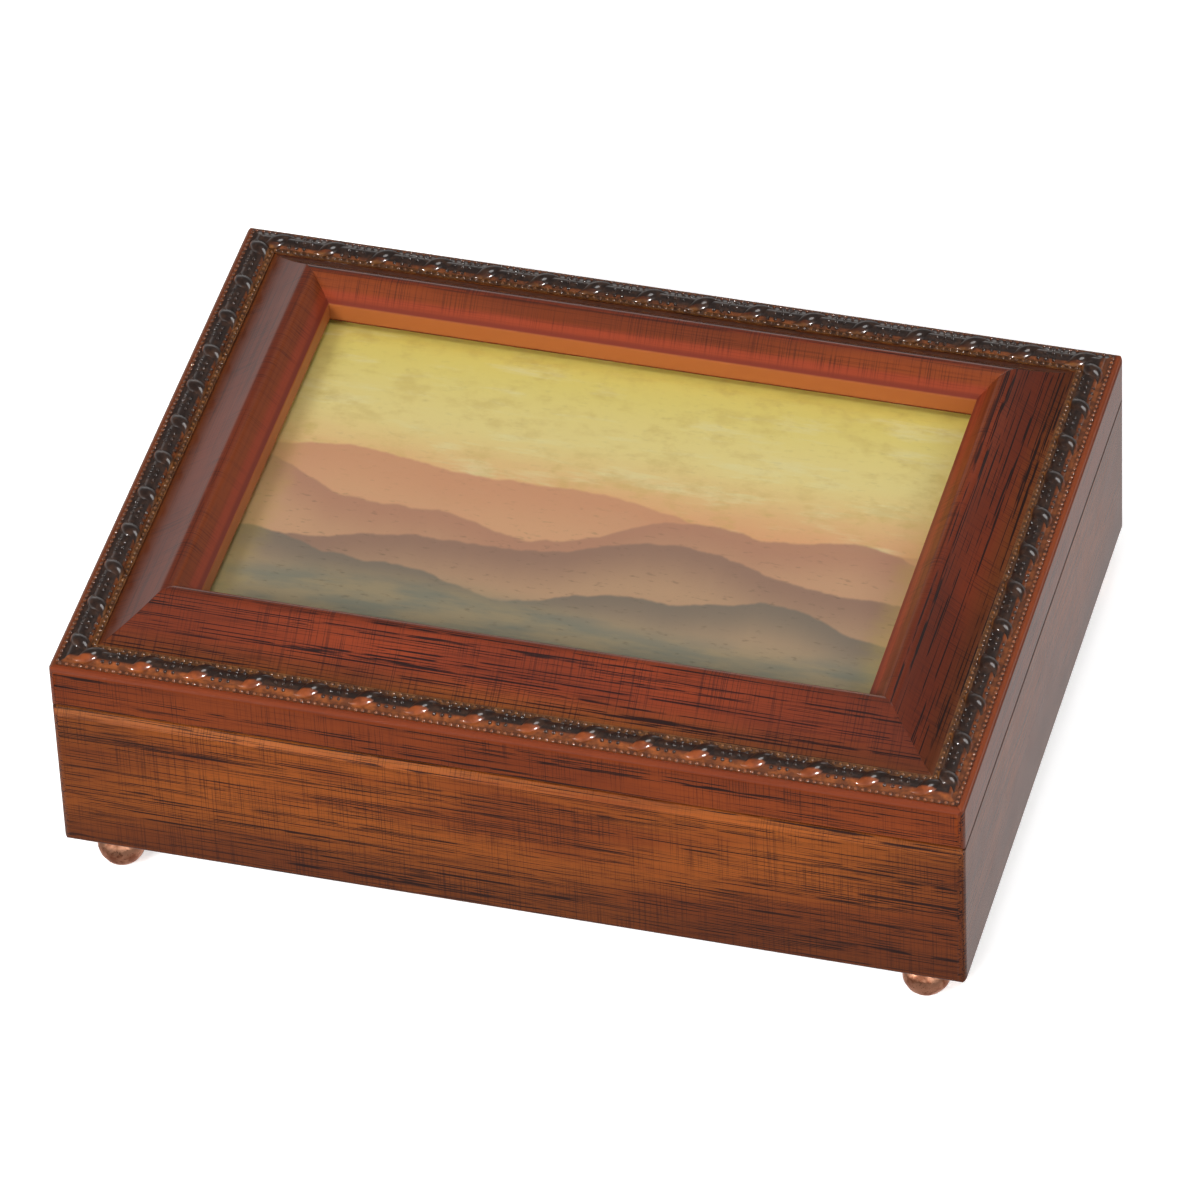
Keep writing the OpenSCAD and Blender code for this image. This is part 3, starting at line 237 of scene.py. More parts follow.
class Finish(Tree):
    """A material for one finish on the box."""

    def __init__(self, name):
        self.material = bpy.data.materials.new(name)
        self.material.use_nodes = True
        self.material.node_tree.nodes.clear()
        super().__init__(self.material.node_tree)

    def place(self):
        """Where a point is on the box, in millimetres: three wires."""
        spot = self.node("ShaderNodeTexCoord", out="Object")
        wide = self.node("ShaderNodeVectorMath", {"operation": "SCALE"}, {0: spot, "Scale": 1 / MM})
        return self.parts(wide)

    def noise(self, x, y, z, detail=2.0, rough=0.5):
        """Smooth noise from 0 to 1, one blob to each unit of x, y and z."""
        spot = self.node("ShaderNodeCombineXYZ", None, {0: x, 1: y, 2: z})
        return self.node("ShaderNodeTexNoise", None,
                         {"Vector": spot, "Scale": 1.0, "Detail": detail, "Roughness": rough})

    def bump(self, height, depth):
        """A normal from a height; depth is in millimetres."""
        return self.node("ShaderNodeBump", None,
                         {"Height": height, "Strength": 1.0, "Distance": depth * MM})

    def skin(self, sockets):
        """The finished surface: one Principled shader."""
        return self.show(self.node("ShaderNodeBsdfPrincipled", None, sockets))

    def show(self, shader):
        self.node("ShaderNodeOutputMaterial", None, {"Surface": shader})
        return self.material


print("mid grey as light:", round(srgb(128, 128, 128)[0], 3))

# %% [markdown]
# ## Printed wood under lacquer
# The case is wrapped in a printed grain: long dark pores along each board, a faint weave of
# lines across them, and broad warm and dull zones, all under thick clear lacquer. Photographs of
# wood can't be used here, so noise stretched along the board draws the pores, and noise
# stretched across it draws the weave. The boards run along X in front and Y at the sides, so
# each direction gets its own material.

# %% Grain and lacquer
COAT_IOR = 1.42
SEAM = srgb(44, 24, 16)


def from_edge(x, y):
    """How far a point lies in from the box's nearest outer edge, in millimetres."""
    return (HALF_W - abs(x)).least(HALF_D - abs(y))


def past_end(along, x, y):
    """How far a point lies past the end of its board: below zero, because none does."""
    return abs(x) - HALF_W if along == "x" else abs(y) - HALF_D


def grain(finish, along, width, dense):
    """The place and the masks for a board that runs along "x" or "y": zones, pores, weave.

    Width is a long pore's, in millimetres; dense is the share of short pores between them.
    """
    x, y, z = finish.place()
    run, side = (x, y) if along == "x" else (y, x)
    zones = finish.noise(run / 60, side / 14, z / 12, 2.0).ramp(0.34, 0.66)
    clumps = finish.noise(run / 24, side / 2.4, z / 2.4, 2.0).ramp(0.48, 0.70)
    breaks = finish.noise(run / 8 + 31, side / 0.7, z / 0.7, 1.0).ramp(0.34, 0.50)
    long_pores = finish.noise(run / 60, side / width, z / width, 1.0).ramp(0.555, 0.59) * breaks
    pores = finish.noise(run / 13 + 40, side / 0.27, z / 0.27, 1.0).ramp(0.565, 0.62)
    specks = finish.noise(run / 5 + 80, side / 0.22, z / 0.22, 1.0).ramp(0.58, 0.70)
    short = (pores * (0.45 + 0.55 * clumps)).most(specks * (0.1 + 0.4 * clumps))
    pores = long_pores.most(dense * short)
    cloud = finish.noise(run / 11 + 7, side / 8, z / 8, 2.0).ramp(0.38, 0.62)
    weave = finish.noise(run / 0.26, side / 26, z / 26, 1.0).ramp(0.52, 0.64) * (0.3 + 0.7 * cloud)
    return (x, y, z), zones, pores, weave


def lacquered(finish, colour, pores, spot, body):
    """Clear gloss over a printed board; body is the share of lacquer that is there.

    The pores sink a little, and the lacquer hardly waves.
    """
    x, y, z = spot
    waves = finish.noise(x / 9, y / 9, z / 9, 1.0)
    return finish.skin({
        "Base Color": colour,
        "Roughness": 0.52 - 0.10 * waves,
        "Specular IOR Level": 0.12,
        "Normal": finish.bump(1 - 0.5 * pores, 0.02),
        "Coat Weight": (0.9 + 0.1 * waves) * body,
        "Coat Roughness": 0.10,
        "Coat IOR": COAT_IOR,
    })


print("lacquer bends light by", COAT_IOR)

# %% Wood of the case
CASE_PORES = (0.29, 1.0)


def case_wood(along):
    """Orange brown; painted shade at the foot and ends, a painted highlight under the seam."""
    finish = Finish("case_wood_" + along)
    spot, zones, pores, weave = grain(finish, along, *CASE_PORES)
    x, y, z = spot
    # painted shade: the colour darkens towards the foot and towards the ends of each board
    low = 1 - z.ramp(WALL_Z, WALL_Z + 26)
    ends = past_end(along, x, y).ramp(-46, 0)
    # painted highlight: a pale band along the rounded rim under the seam, strongest on the left
    band = z.ramp(RIM_Z - 1.2, RIM_Z - 0.8) * (0.45 - 0.3 * x.ramp(-60, 70))
    colour = finish.mix(srgb(160, 84, 28), srgb(128, 60, 21), zones)
    colour = finish.mix(colour, srgb(86, 40, 16), (0.76 * low).most(0.46 * ends))
    colour = finish.mix(colour, srgb(172, 98, 41), band)
    colour = finish.mix(colour, srgb(60, 27, 16), 0.56 * weave)
    colour = finish.mix(colour, srgb(26, 12, 11), 0.95 * pores)
    seam = z.ramp(RIM_Z - 0.40, RIM_Z - 0.12) * (1 - from_edge(x, y).ramp(0.3, 0.9))
    colour = finish.mix(colour, SEAM, 0.85 * seam)
    return lacquered(finish, colour, pores, spot, 1 - seam)


WOOD = {("case", along): case_wood(along) for along in "xy"}
print("wood of the case:", [wood.name for wood in WOOD.values()])

# %% [markdown]
# The lid's rails are redder, and their colour follows the moulding: a plain rounded edge, a dull
# deck under the rope, the red scoop, the crest, and a paler lip at the picture. The right rail
# shows its pores, and the left one is smooth and mirrors more, so the rails that run along Y
# are told apart by the sign of x. Painted shade makes the left rail and its rounded edge darker
# than the right, the scoops darker towards their ends, and the outer faces darker to the left.

# %% Wood of the lid
LID_PORES = {"x": (0.36, 0.55), "y": (0.5, 0.25)}
SHADE = srgb(78, 31, 15)


def lid_wood(along):
    """Red brown in bands that follow the moulding from the outer edge to the picture."""
    finish = Finish("lid_wood_" + along)
    spot, zones, pores, weave = grain(finish, along, *LID_PORES[along])
    x, y, z = spot
    inset = from_edge(x, y)
    ends = past_end(along, x, y).ramp(-80, -15)
    # painted shade: darker scoop towards the ends, darker left rail and left rounded edge
    shade, rounded, share, bare = 0.6 * ends, srgb(120, 50, 22), 1.0, 0.0
    if along == "y":
        right_rail = x.ramp(-1, 1)
        shade = (0.42 + 0.2 * ends) * (1 - 0.55 * right_rail)
        rounded = finish.mix(srgb(106, 52, 22), srgb(146, 66, 27), right_rail)
        share = 0.4 + 0.6 * right_rail
        bare = 0.8 * right_rail * inset.ramp(2.0, 8.0) * (1 - inset.ramp(CREST_IN - 3, CREST_IN))
    colour = finish.mix(srgb(134, 53, 21), srgb(108, 41, 18), zones)
    dull = finish.mix(srgb(122, 63, 22), srgb(98, 48, 19), zones)
    colour = finish.mix(dull, colour, inset.ramp(SCOOP_IN, SCOOP_IN + 6))
    edge = finish.mix(srgb(140, 63, 22), srgb(118, 50, 18), zones)
    colour = finish.mix(edge, colour, inset.ramp(1.0, 2.4))
    colour = finish.mix(colour, SHADE, inset.ramp(SCOOP_IN - 2, SCOOP_IN + 2) * shade)
    inner = finish.mix(srgb(124, 56, 21), srgb(104, 45, 18), zones)
    colour = finish.mix(colour, inner, inset.ramp(CREST_IN, CREST_IN + 1.2))
    colour = finish.mix(colour, srgb(136, 55, 29), inset.ramp(RIDGE_IN - 0.9, RIDGE_IN + 0.2))
    # painted shadow: a dark line in the crease where the inner slope meets the upright
    colour = finish.mix(colour, srgb(112, 44, 28), inset.ramp(RIDGE_IN + 0.7, RIDGE_IN + 1.4))
    colour = finish.mix(colour, srgb(154, 86, 42), inset.ramp(OPENING_IN - 0.3, OPENING_IN))
    plain = (1 - inset.ramp(1.5, 2.1)) * z.ramp(DECK_Z - 1.6, DECK_Z - 0.6)
    colour = finish.mix(colour, rounded, 0.75 * plain)
    # painted shade: the outer face darkens towards the left
    face = (1 - inset.ramp(0.1, 0.6)) * (0.22 - 0.14 * x.ramp(-90, 40))
    colour = finish.mix(colour, SHADE, face)
    calm = (1 - inset.ramp(RIDGE_IN - 1.0, OPENING_IN)) * (1 - 0.85 * plain)
    fewer = (1 - 0.7 * inset.ramp(CREST_IN - 0.5, CREST_IN + 1.5)) * share
    pores = pores * calm * fewer
    colour = finish.mix(colour, srgb(52, 21, 14), 0.58 * weave * calm)
    colour = finish.mix(colour, srgb(24, 11, 10), 0.95 * pores)
    thin = inset.ramp(2.0, 8.0) * (1 - inset.ramp(SCOOP_IN + 0.5, SCOOP_IN + 6))
    thin = (0.88 * thin).most(0.75 * inset.ramp(CREST_IN + 0.6, CREST_IN + 2.2)).most(bare)
    seam = (1 - z.ramp(LID_Z + 0.12, LID_Z + 0.40)) * (1 - inset.ramp(0.3, 0.9))
    colour = finish.mix(colour, SEAM, 0.85 * seam)
    return lacquered(finish, colour, pores, spot, (1 - thin) * (1 - seam))


WOOD.update({("lid", along): lid_wood(along) for along in "xy"})
print("wood finishes:", len(WOOD))

# %% [markdown]
# ## Antique glaze on the rope, with painted light and shade
# A dark glaze was brushed over the ornament and wiped off again. It stays in the hollows and on
# much of the rope, and what is rubbed back to orange brown lies in another place on each side of
# the lid: the flanks turned to the front or the right, which is painted light, while the flanks
# turned away keep the dark, which is painted shade. How much stays is painted on the meshes
# later, as an attribute named "glaze"; the shader adds what depends on place: the
# hollows, which get painted shade as well as glaze, the golden row by the picture and the outer
# pearls, which are duller at the back and left.

# %% Glaze finish


def rope_glaze():
    finish = Finish("rope_glaze")
    x, y, z = finish.place()
    inset = from_edge(x, y)
    height = z - DECK_Z - (inset - DECK_FROM) * DECK_RISE
    painted = finish.node("ShaderNodeAttribute", {"attribute_name": "glaze"}, out="Fac")
    patch = finish.noise(x / 1.9, y / 1.9, z / 1.9, 3.0)
    stays = (painted + 0.4 * (patch - 0.5)).ramp(0.2, 0.7)
    # painted light: the rubbed orange also stands for the lit flanks of the rope
    rubbed_and_lit = finish.mix(srgb(144, 72, 35), srgb(118, 57, 28), patch.ramp(0.35, 0.65))
    strip = finish.mix(srgb(148, 80, 37), srgb(116, 60, 29), patch.ramp(0.35, 0.65))
    rubbed_and_lit = finish.mix(strip, rubbed_and_lit, height.ramp(0.7, 1.3))
    dark = finish.mix(srgb(38, 25, 20), srgb(62, 41, 30), patch.ramp(0.42, 0.70))
    gold = finish.mix(srgb(126, 78, 37), srgb(88, 52, 28), patch.ramp(0.35, 0.65))
    colour = finish.mix(rubbed_and_lit, dark, stays)
    colour = finish.mix(colour, gold, inset.ramp(TRIM_OUT - 1.8, TRIM_OUT - 1.2))
    edge = 1 - inset.ramp(TRIM_IN + 0.7, TRIM_IN + 1.0)
    far = 1 - (HALF_W + x).least(HALF_D - y).ramp(TRIM_IN + 1.0, TRIM_IN + 1.6)
    pearls = finish.mix(srgb(134, 76, 44), srgb(88, 52, 32), far)
    colour = finish.mix(colour, pearls, edge * height.ramp(0.45, 0.7))
    # painted shade and glaze: a dark crease by the outer pearls and a dark groove by the inner row
    crease = 1 - inset.ramp(TRIM_IN + 0.6, TRIM_IN + 1.1)
    groove = inset.ramp(TRIM_OUT - 1.5, TRIM_OUT - 1.1) * (1 - inset.ramp(TRIM_OUT - 0.4, TRIM_OUT))
    hollow = (1 - height.ramp(0.40, 0.62)) * (0.55 * crease).most(0.5 * groove)
    colour = finish.mix(colour, srgb(30, 18, 16), 0.85 * hollow)
    return finish.skin({
        "Base Color": colour,
        "Roughness": 0.40 + 0.22 * hollow,
        "Specular IOR Level": 0.15,
        "Normal": finish.bump(patch, 0.03),
        "Coat Weight": 0.85 - 0.6 * hollow,
        "Coat Roughness": 0.06,
        "Coat IOR": COAT_IOR,
    })


GLAZE_AND_LIGHT = rope_glaze()
print("glaze:", GLAZE_AND_LIGHT.name)

# %% [markdown]
# ## Metals
# Brass hinges, nickel plates and steel differ in colour, but all have the same two things: a
# brushed texture that spreads the highlight, and dull patches where fingers and air have worked.
# One function makes them all. The copper balls are cast, so they get a finish of their own.

# %% Metal finishes


def metal(name, bright, dull, rough, brush, depth=0.004, tarnish=0.5):
    """A metal between two colours; brush is how long its scratches are along x, y and z."""
    finish = Finish(name)
    x, y, z = finish.place()
    lines = finish.noise(x / brush[0], y / brush[1], z / brush[2], 2.0)
    patch = finish.noise(x / 2.6, y / 2.6, z / 2.6, 4.0, 0.6).ramp(0.38, 0.68)
    colour = finish.mix(srgb(*bright), srgb(*dull), tarnish * patch + 0.15 * lines)
    return finish.skin({
        "Base Color": colour,
        "Metallic": 1.0,
        "Roughness": rough + 0.32 * tarnish * patch + 0.08 * lines,
        "Normal": finish.bump(lines, depth),
    })


def copper():
    """Cast copper balls: bright where rubbed, brown in the dents."""
    finish = Finish("foot_copper")
    x, y, z = finish.place()
    dents = finish.noise(x / 2.4, y / 2.4, z / 2.4, 3.0, 0.55)
    specks = finish.noise(x / 0.6, y / 0.6, z / 0.6, 2.0)
    colour = finish.mix(srgb(244, 180, 146), srgb(186, 120, 90), dents.ramp(0.40, 0.66))
    colour = finish.mix(colour, srgb(120, 74, 56), 0.55 * specks.ramp(0.58, 0.72))
    return finish.skin({
        "Base Color": colour,
        "Metallic": 1.0,
        "Roughness": 0.24 + 0.22 * dents,
        "Normal": finish.bump(dents, 0.16),
    })


BRUSHED = {  # bright, dull, rough, brush; then depth and tarnish, where they differ
    "hinge_brass": ((214, 178, 104), (168, 128, 66), 0.26, (3.0, 0.08, 0.08)),
    "key_brass": ((226, 188, 110), (178, 136, 70), 0.18, (0.5, 0.5, 0.5)),
    "movement_brass": ((226, 192, 120), (188, 150, 86), 0.22, (0.5, 0.06, 0.5)),
    "movement_plate": ((222, 218, 206), (186, 180, 168), 0.34, (0.4, 0.4, 0.4), 0.002, 0.12),
    "screw_steel": ((192, 192, 190), (140, 140, 138), 0.28, (0.3, 0.3, 0.3)),
    "comb_steel": ((214, 216, 220), (176, 178, 184), 0.28, (6.0, 0.12, 0.3), 0.001, 0.3),
    "spring_steel": ((96, 104, 130), (66, 70, 90), 0.30, (0.3, 0.3, 2.0)),
}
METAL = {"foot_copper": copper()}
METAL.update({name: metal(name, *look) for name, look in BRUSHED.items()})
print("metals:", sorted(METAL))

# %% [markdown]
# ## Cloth, board, nylon and clear sheets
# The tray is lined with flocked board: short fibres that catch light at the rim, which is what
# the Principled shader's sheen is for. Clear sheets are a mix of see-through and gloss by
# Fresnel's rule, because a solid glass shader would leave the picture under it in the dark.

# %% Flock, board and nylon


def flock():
    finish = Finish("wine_flock")
    x, y, z = finish.place()
    pile = finish.noise(x / 0.30, y / 0.30, z / 0.30, 2.0)
    brushed = finish.noise(x / 38, y / 6, z / 30, 2.0)
    colour = finish.mix(srgb(90, 19, 32), srgb(80, 16, 28), brushed.ramp(0.30, 0.72))
    colour = finish.mix(colour, srgb(120, 36, 48), 0.55 * pile.ramp(0.50, 0.75))
    return finish.skin({"Base Color": colour, "Roughness": 0.88 + 0.1 * pile,
                        "Normal": finish.bump(pile, 0.12),
                        "Sheen Weight": 0.6, "Sheen Roughness": 0.4,
                        "Sheen Tint": srgb(190, 90, 100)})


def painted_board():
    finish = Finish("dark_board")
    x, y, z = finish.place()
    fibre = finish.noise(x / 9, y / 0.5, z / 0.5, 3.0)
    cloud = finish.noise(x / 20, y / 20, z / 20, 2.0)
    colour = finish.mix(srgb(58, 38, 30), srgb(40, 25, 21), fibre.ramp(0.35, 0.65))
    colour = finish.mix(colour, srgb(72, 50, 40), 0.35 * cloud.ramp(0.5, 0.75))
    return finish.skin({"Base Color": colour, "Roughness": 0.5 + 0.2 * fibre,
                        "Normal": finish.bump(fibre, 0.05)})


def grey_card():
    finish = Finish("backing_card")
    x, y, z = finish.place()
    fibre = finish.noise(x / 1.2, y / 1.2, z / 0.2, 4.0, 0.6)
    colour = finish.mix(srgb(150, 126, 96), srgb(122, 100, 74), fibre.ramp(0.35, 0.65))
    return finish.skin({"Base Color": colour, "Roughness": 0.8 + 0.1 * fibre,
                        "Normal": finish.bump(fibre, 0.06)})


def nylon():
    finish = Finish("nylon")
    x, y, z = finish.place()
    flow = finish.noise(x / 2.0, y / 2.0, z / 0.8, 2.0)
    colour = finish.mix(srgb(236, 232, 218), srgb(218, 212, 196), flow.ramp(0.35, 0.65))
    return finish.skin({"Base Color": colour, "Roughness": 0.38 + 0.1 * flow,
                        "Normal": finish.bump(flow, 0.01), "Subsurface Weight": 0.1})


SHEET = {"velvet": flock(), "dark_board": painted_board(), "backing_card": grey_card(),
         "nylon": nylon()}
print("soft and plain finishes:", sorted(SHEET))

# %% Clear sheets


def clear_sheet(name, tint, least):
    """A sheet that shows what is behind it, with gloss that grows towards the rim."""
    finish = Finish(name)
    x, y, z = finish.place()
    smear = finish.noise(x / 26, y / 18, z / 18, 3.0)
    facing = finish.node("ShaderNodeLayerWeight", None, {"Blend": 0.12}, out="Fresnel")
    through = finish.node("ShaderNodeBsdfTransparent", None, {"Color": srgb(*tint)})
    gloss = finish.node("ShaderNodeBsdfGlossy", None,
                        {"Color": srgb(250, 250, 250), "Roughness": 0.02 + 0.05 * smear})
    share = (facing * 0.9 + least + 0.02 * smear).least(1.0)
    return finish.show(finish.node("ShaderNodeMixShader", None, {0: share, 1: through, 2: gloss}))


SHEET["picture_glass"] = clear_sheet("picture_glass", (252, 253, 252), 0.015)
SHEET["clear_plastic"] = clear_sheet("clear_plastic", (244, 248, 250), 0.03)
print("sheets:", sorted(SHEET))

# %% [markdown]
# ## The picture
# A print lies behind the glass. This one is an evening valley of the builder's own: a yellow
# sky, ridges one behind another that pale with distance, and a misty meadow. Each ridge is a
# line of summed sines; a point belongs to the nearest ridge that rises above it. Mottling,
# flecks and a yellowed rim make it look like paper that has been in its frame for years.

# %% Print finish
RIDGES = (  # height, swing, pace, start, tone; the last is the nearest
    (0.545, 0.050, 5.1, 0.4, (224, 164, 128)),
    (0.470, 0.062, 7.3, 2.1, (198, 146, 120)),
    (0.370, 0.055, 5.9, 4.0, (166, 130, 112)),
    (0.255, 0.040, 8.7, 1.2, (140, 126, 112)),
)


def valley_print():
    finish = Finish("valley_print")
    x, y, z = finish.place()
    low, high = span("picture_card")
    wide = (x - low[0]) / (high[0] - low[0])
    tall = (y - low[1]) / (high[1] - low[1])
    brush = finish.noise(x / 22, y / 5, z, 4.0, 0.6)
    fleck = finish.noise(x / 2.4, y / 0.9, z, 3.0)
    mottle = finish.noise(x / 7, y / 4.5, z, 4.0, 0.62)
    sky = finish.mix(srgb(250, 230, 158), srgb(246, 226, 118), tall.ramp(0.70, 1.02))
    sky = finish.mix(srgb(244, 184, 136), sky, (tall + 0.08 * (brush - 0.5)).ramp(0.48, 0.74))
    sky = finish.mix(sky, srgb(252, 240, 190), 0.55 * brush.ramp(0.52, 0.72))
    sky = finish.mix(sky, srgb(218, 186, 104), 0.36 * mottle.ramp(0.46, 0.72))
    colour = sky
    for base, swing, pace, start, tone in RIDGES:
        line = base + swing * (wide * pace + start).wave()
        line = line + swing * 0.4 * (wide * pace * 2.7 + start).wave()
        line = line + 0.03 * (finish.noise(wide * 24, start, z, 3.0) - 0.5)
        under = (line - tall).ramp(-0.004, 0.006)
        mist = (line - tall).ramp(0.0, 0.17)
        pale = [0.5 * (a + b) for a, b in zip(srgb(*tone), srgb(240, 196, 150))]
        body = finish.mix(srgb(*tone), pale[:3] + [1], mist)
        colour = finish.mix(colour, body, 0.94 * under)
    meadow = (0.20 + 0.03 * (wide * 6.0).wave() - tall).ramp(-0.03, 0.06)
    grass = finish.mix(srgb(138, 138, 122), srgb(172, 154, 122), brush.ramp(0.36, 0.66))
    colour = finish.mix(colour, grass, 0.9 * meadow)
    stubble = fleck.ramp(0.60, 0.78) * (1 - tall.ramp(0.3, 0.6))
    colour = finish.mix(colour, srgb(92, 82, 70), 0.35 * stubble)
    colour = finish.mix(colour, srgb(120, 96, 62), 0.09 * fleck.ramp(0.58, 0.76))
    rim = (abs(wide - 0.5).most(abs(tall - 0.5)) + 0.06 * (mottle - 0.5)).ramp(0.43, 0.495)
    colour = finish.mix(colour, srgb(206, 180, 86), 0.42 * rim)
    return finish.skin({"Base Color": colour, "Roughness": 0.42 + 0.1 * fleck})


SHEET["picture_print"] = valley_print()
print("print finished")

# %% [markdown]
# ## Boards and rails with eased edges
# The solids have knife-sharp edges where two planes meet, and real lacquered boards don't. A
# copy of each visible board is merged to one skin, its flat parts are dissolved to single faces,
# and a Bevel modifier takes the edge off. The copy then stands for the node.

# %% A piece that stands for a node


def finish_for(node):
    """The finish of a node, from its slot and the way its board runs."""
    slot = slot_of[node]
    along = "y" if node.endswith(("_left", "_right")) else "x"
    if slot in ("case_wood", "lid_wood"):
        return WOOD[slot[:-5], along]
    if slot == "rope_ornament":
        return GLAZE_AND_LIGHT
    return METAL.get(slot) or SHEET[slot]


def settle(piece, node):
    """A piece takes a node's place: it joins the node's body, and the node is hidden."""
    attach(piece, body_of[node])
    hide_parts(node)


print("finish of the front wall:", finish_for("base_front").name)

# %% Meshes and objects
SHARP = 32
SAME_POINT = 0.002
FLAT = 0.3


def smooth(mesh, degrees=SHARP):
    """Smooth shading, except over edges that turn by more than this."""
    mesh.shade_smooth()
    mesh.set_sharp_from_angle(angle=math.radians(degrees))


def baked(piece):
    """The piece's modifiers become its plain mesh."""
    graph = bpy.context.evaluated_depsgraph_get()
    mesh = bpy.data.meshes.new_from_object(piece.evaluated_get(graph), depsgraph=graph)
    piece.modifiers.clear()
    piece.data = mesh
    mesh.name = piece.name
    return piece


def meshed(name, skin):
    """A bmesh as a plain mesh."""
    mesh = bpy.data.meshes.new(name)
    skin.to_mesh(mesh)
    skin.free()
    return mesh


def linked(name, data):
    """A new object in the scene for a mesh or a lamp."""
    piece = bpy.data.objects.new(name, data)
    bpy.context.scene.collection.objects.link(piece)
    return piece


def merged(node, name, flat=None):
    """A copy of a node as one closed skin; faces within flat degrees of each other become one."""
    skin = bmesh.new()
    skin.from_mesh(nodes[node].data)
    bmesh.ops.remove_doubles(skin, verts=skin.verts, dist=SAME_POINT * MM)
    if flat:
        bmesh.ops.dissolve_limit(skin, angle_limit=math.radians(flat),
                                 verts=skin.verts, edges=skin.edges)
    mesh = meshed(name, skin)
    mesh.materials.append(finish_for(node))
    for face in mesh.polygons:
        face.material_index = 0
    return linked(name, mesh)


print("an edge is sharp from", SHARP, "degrees")

# %% Ease the boards
BEVEL_STEPS = 2


def eased(node, width):
    """A copy of a node with its sharp edges taken off by width, in millimetres."""
    piece = merged(node, node + "_dressed", FLAT)
    bevel = piece.modifiers.new("eased", "BEVEL")
    bevel.width = width * MM
    bevel.segments = BEVEL_STEPS
    bevel.limit_method = "ANGLE"
    bevel.angle_limit = math.radians(SHARP)
    baked(piece)
    smooth(piece.data)
    even = piece.modifiers.new("even", "WEIGHTED_NORMAL")
    even.keep_sharp = True
    baked(piece)
    settle(piece, node)
    return piece


EASED = {
    "base_front": 0.25, "base_back": 0.25, "base_left": 0.25, "base_right": 0.25,
    "lid_rail_front": 0.12, "lid_rail_right": 0.12, "lid_rail_back": 0.12, "lid_rail_left": 0.12,
    "base_floor": 0.2, "divider": 0.3, "cover_cleats": 0.3, "movement_cover": 0.2,
    "lining_floor": 0.4, "lining_front": 0.4, "lining_back": 0.4, "lining_right": 0.4,
    "lining_divider": 0.4, "lid_lining": 0.4, "winding_key": 0.3, "bedplate": 0.15,
}
faces = 0
for node, width in EASED.items():
    faces += len(eased(node, width).data.polygons)
print("eased boards:", len(EASED), "faces:", faces)

# %% [markdown]
# ## The rope and its beads
# A moulding like this is pressed in long strips and mitred at the corners. Along a half-round
# core lie twists that all lean one way; each starts thin at the outer side, swells, and runs out
# at the inner side. Between twists sit three short rows of beads, and a string of pearls runs
# along each side. The core is drawn as one section from mitre to mitre; the rest repeats, so a
# Geometry Nodes tree sets it out from a few named sizes.

# %% One twist of the rope
TWIST_L = 8.4
TWIST_SWAY = 1.7
TWIST_W = 2.0
TWIST_H = 1.25
TWIST_SEAT = 0.68
TWIST_TAPER = 1.3
TWIST_RINGS = 14
TWIST_AROUND = 14
IS_TWIST = 2.0
IS_STRIP = 1.0


def mark(mesh, kind):
    """Note on each point what it belongs to; what a node tree adds without a mark has kind 0."""
    marks = mesh.attributes.new("kind", "FLOAT", "POINT").data
    marks.foreach_set("value", [kind] * len(mesh.vertices))


def skinned(name, rows, around):
    """A closed skin over rings of points, in millimetres; a ring of one point is a pole."""
    skin = bmesh.new()
    rings = [[skin.verts.new([c * MM for c in spot]) for spot in row] for row in rows]
    for lower, upper in zip(rings, rings[1:]):
        for j in range(around):
            k = (j + 1) % around
            corner = [lower[j % len(lower)], lower[k % len(lower)],
                      upper[k % len(upper)], upper[j % len(upper)]]
            skin.faces.new(list(dict.fromkeys(corner)))
    bmesh.ops.recalc_face_normals(skin, faces=skin.faces)
    return meshed(name, skin)


def twist_shape():
    """A tapered bar along X that sways from the outer side, -Y, to the inner side."""
    rows = []
    for i in range(TWIST_RINGS + 1):
        t = i / TWIST_RINGS
        swell = max(math.sin(math.pi * t), 0) ** TWIST_TAPER
        x = (t - 0.5) * TWIST_L
        bend = math.pi / 2 * math.sin(math.pi * (t - 0.5))
        y = TWIST_SWAY * math.sin(bend)
        climb = TWIST_SWAY * math.cos(bend) * math.pi ** 2 / 2 * math.cos(math.pi * (t - 0.5))
        lean = math.atan2(climb, TWIST_L)
        seat = TWIST_SEAT * math.sqrt(1 - (y / CORE_W) ** 2)
        row = []
        for j in range(TWIST_AROUND if 0 < i < TWIST_RINGS else 1):
            angle = 2 * math.pi * j / TWIST_AROUND
            across = TWIST_W * swell * math.cos(angle)
            rise = TWIST_H * swell * math.sin(angle)
            row.append((x - across * math.sin(lean), y + across * math.cos(lean), seat + rise))
        rows.append(row)
    mesh = skinned("rope_twist", rows, TWIST_AROUND)
    mark(mesh, IS_TWIST)
    return bpy.data.objects.new("rope_twist", mesh)


TWIST = twist_shape()
print("faces in a twist:", len(TWIST.data.polygons))

# %% [markdown]
# The rope and, later, the tune's pins are set out by Geometry Nodes. Both trees start with named
# inputs and end in the same way: copies are made into real faces, because bare copies are lost
# when the model is exported, and all of it gets one finish.

# %% Start, end and use a Geometry Nodes tree


def begun(name, inputs):
    """A tree with named inputs, and a wire from each of them."""
    group = bpy.data.node_groups.new(name, "GeometryNodeTree")
    for label, kind in inputs.items():
        group.interface.new_socket(label, in_out="INPUT", socket_type="NodeSocket" + kind)
    group.interface.new_socket("Geometry", in_out="OUTPUT", socket_type="NodeSocketGeometry")
    tree = Tree(group)
    source = tree.node("NodeGroupInput").socket.node
    return tree, {s.name: Wire(tree, s) for s in source.outputs if s.name}


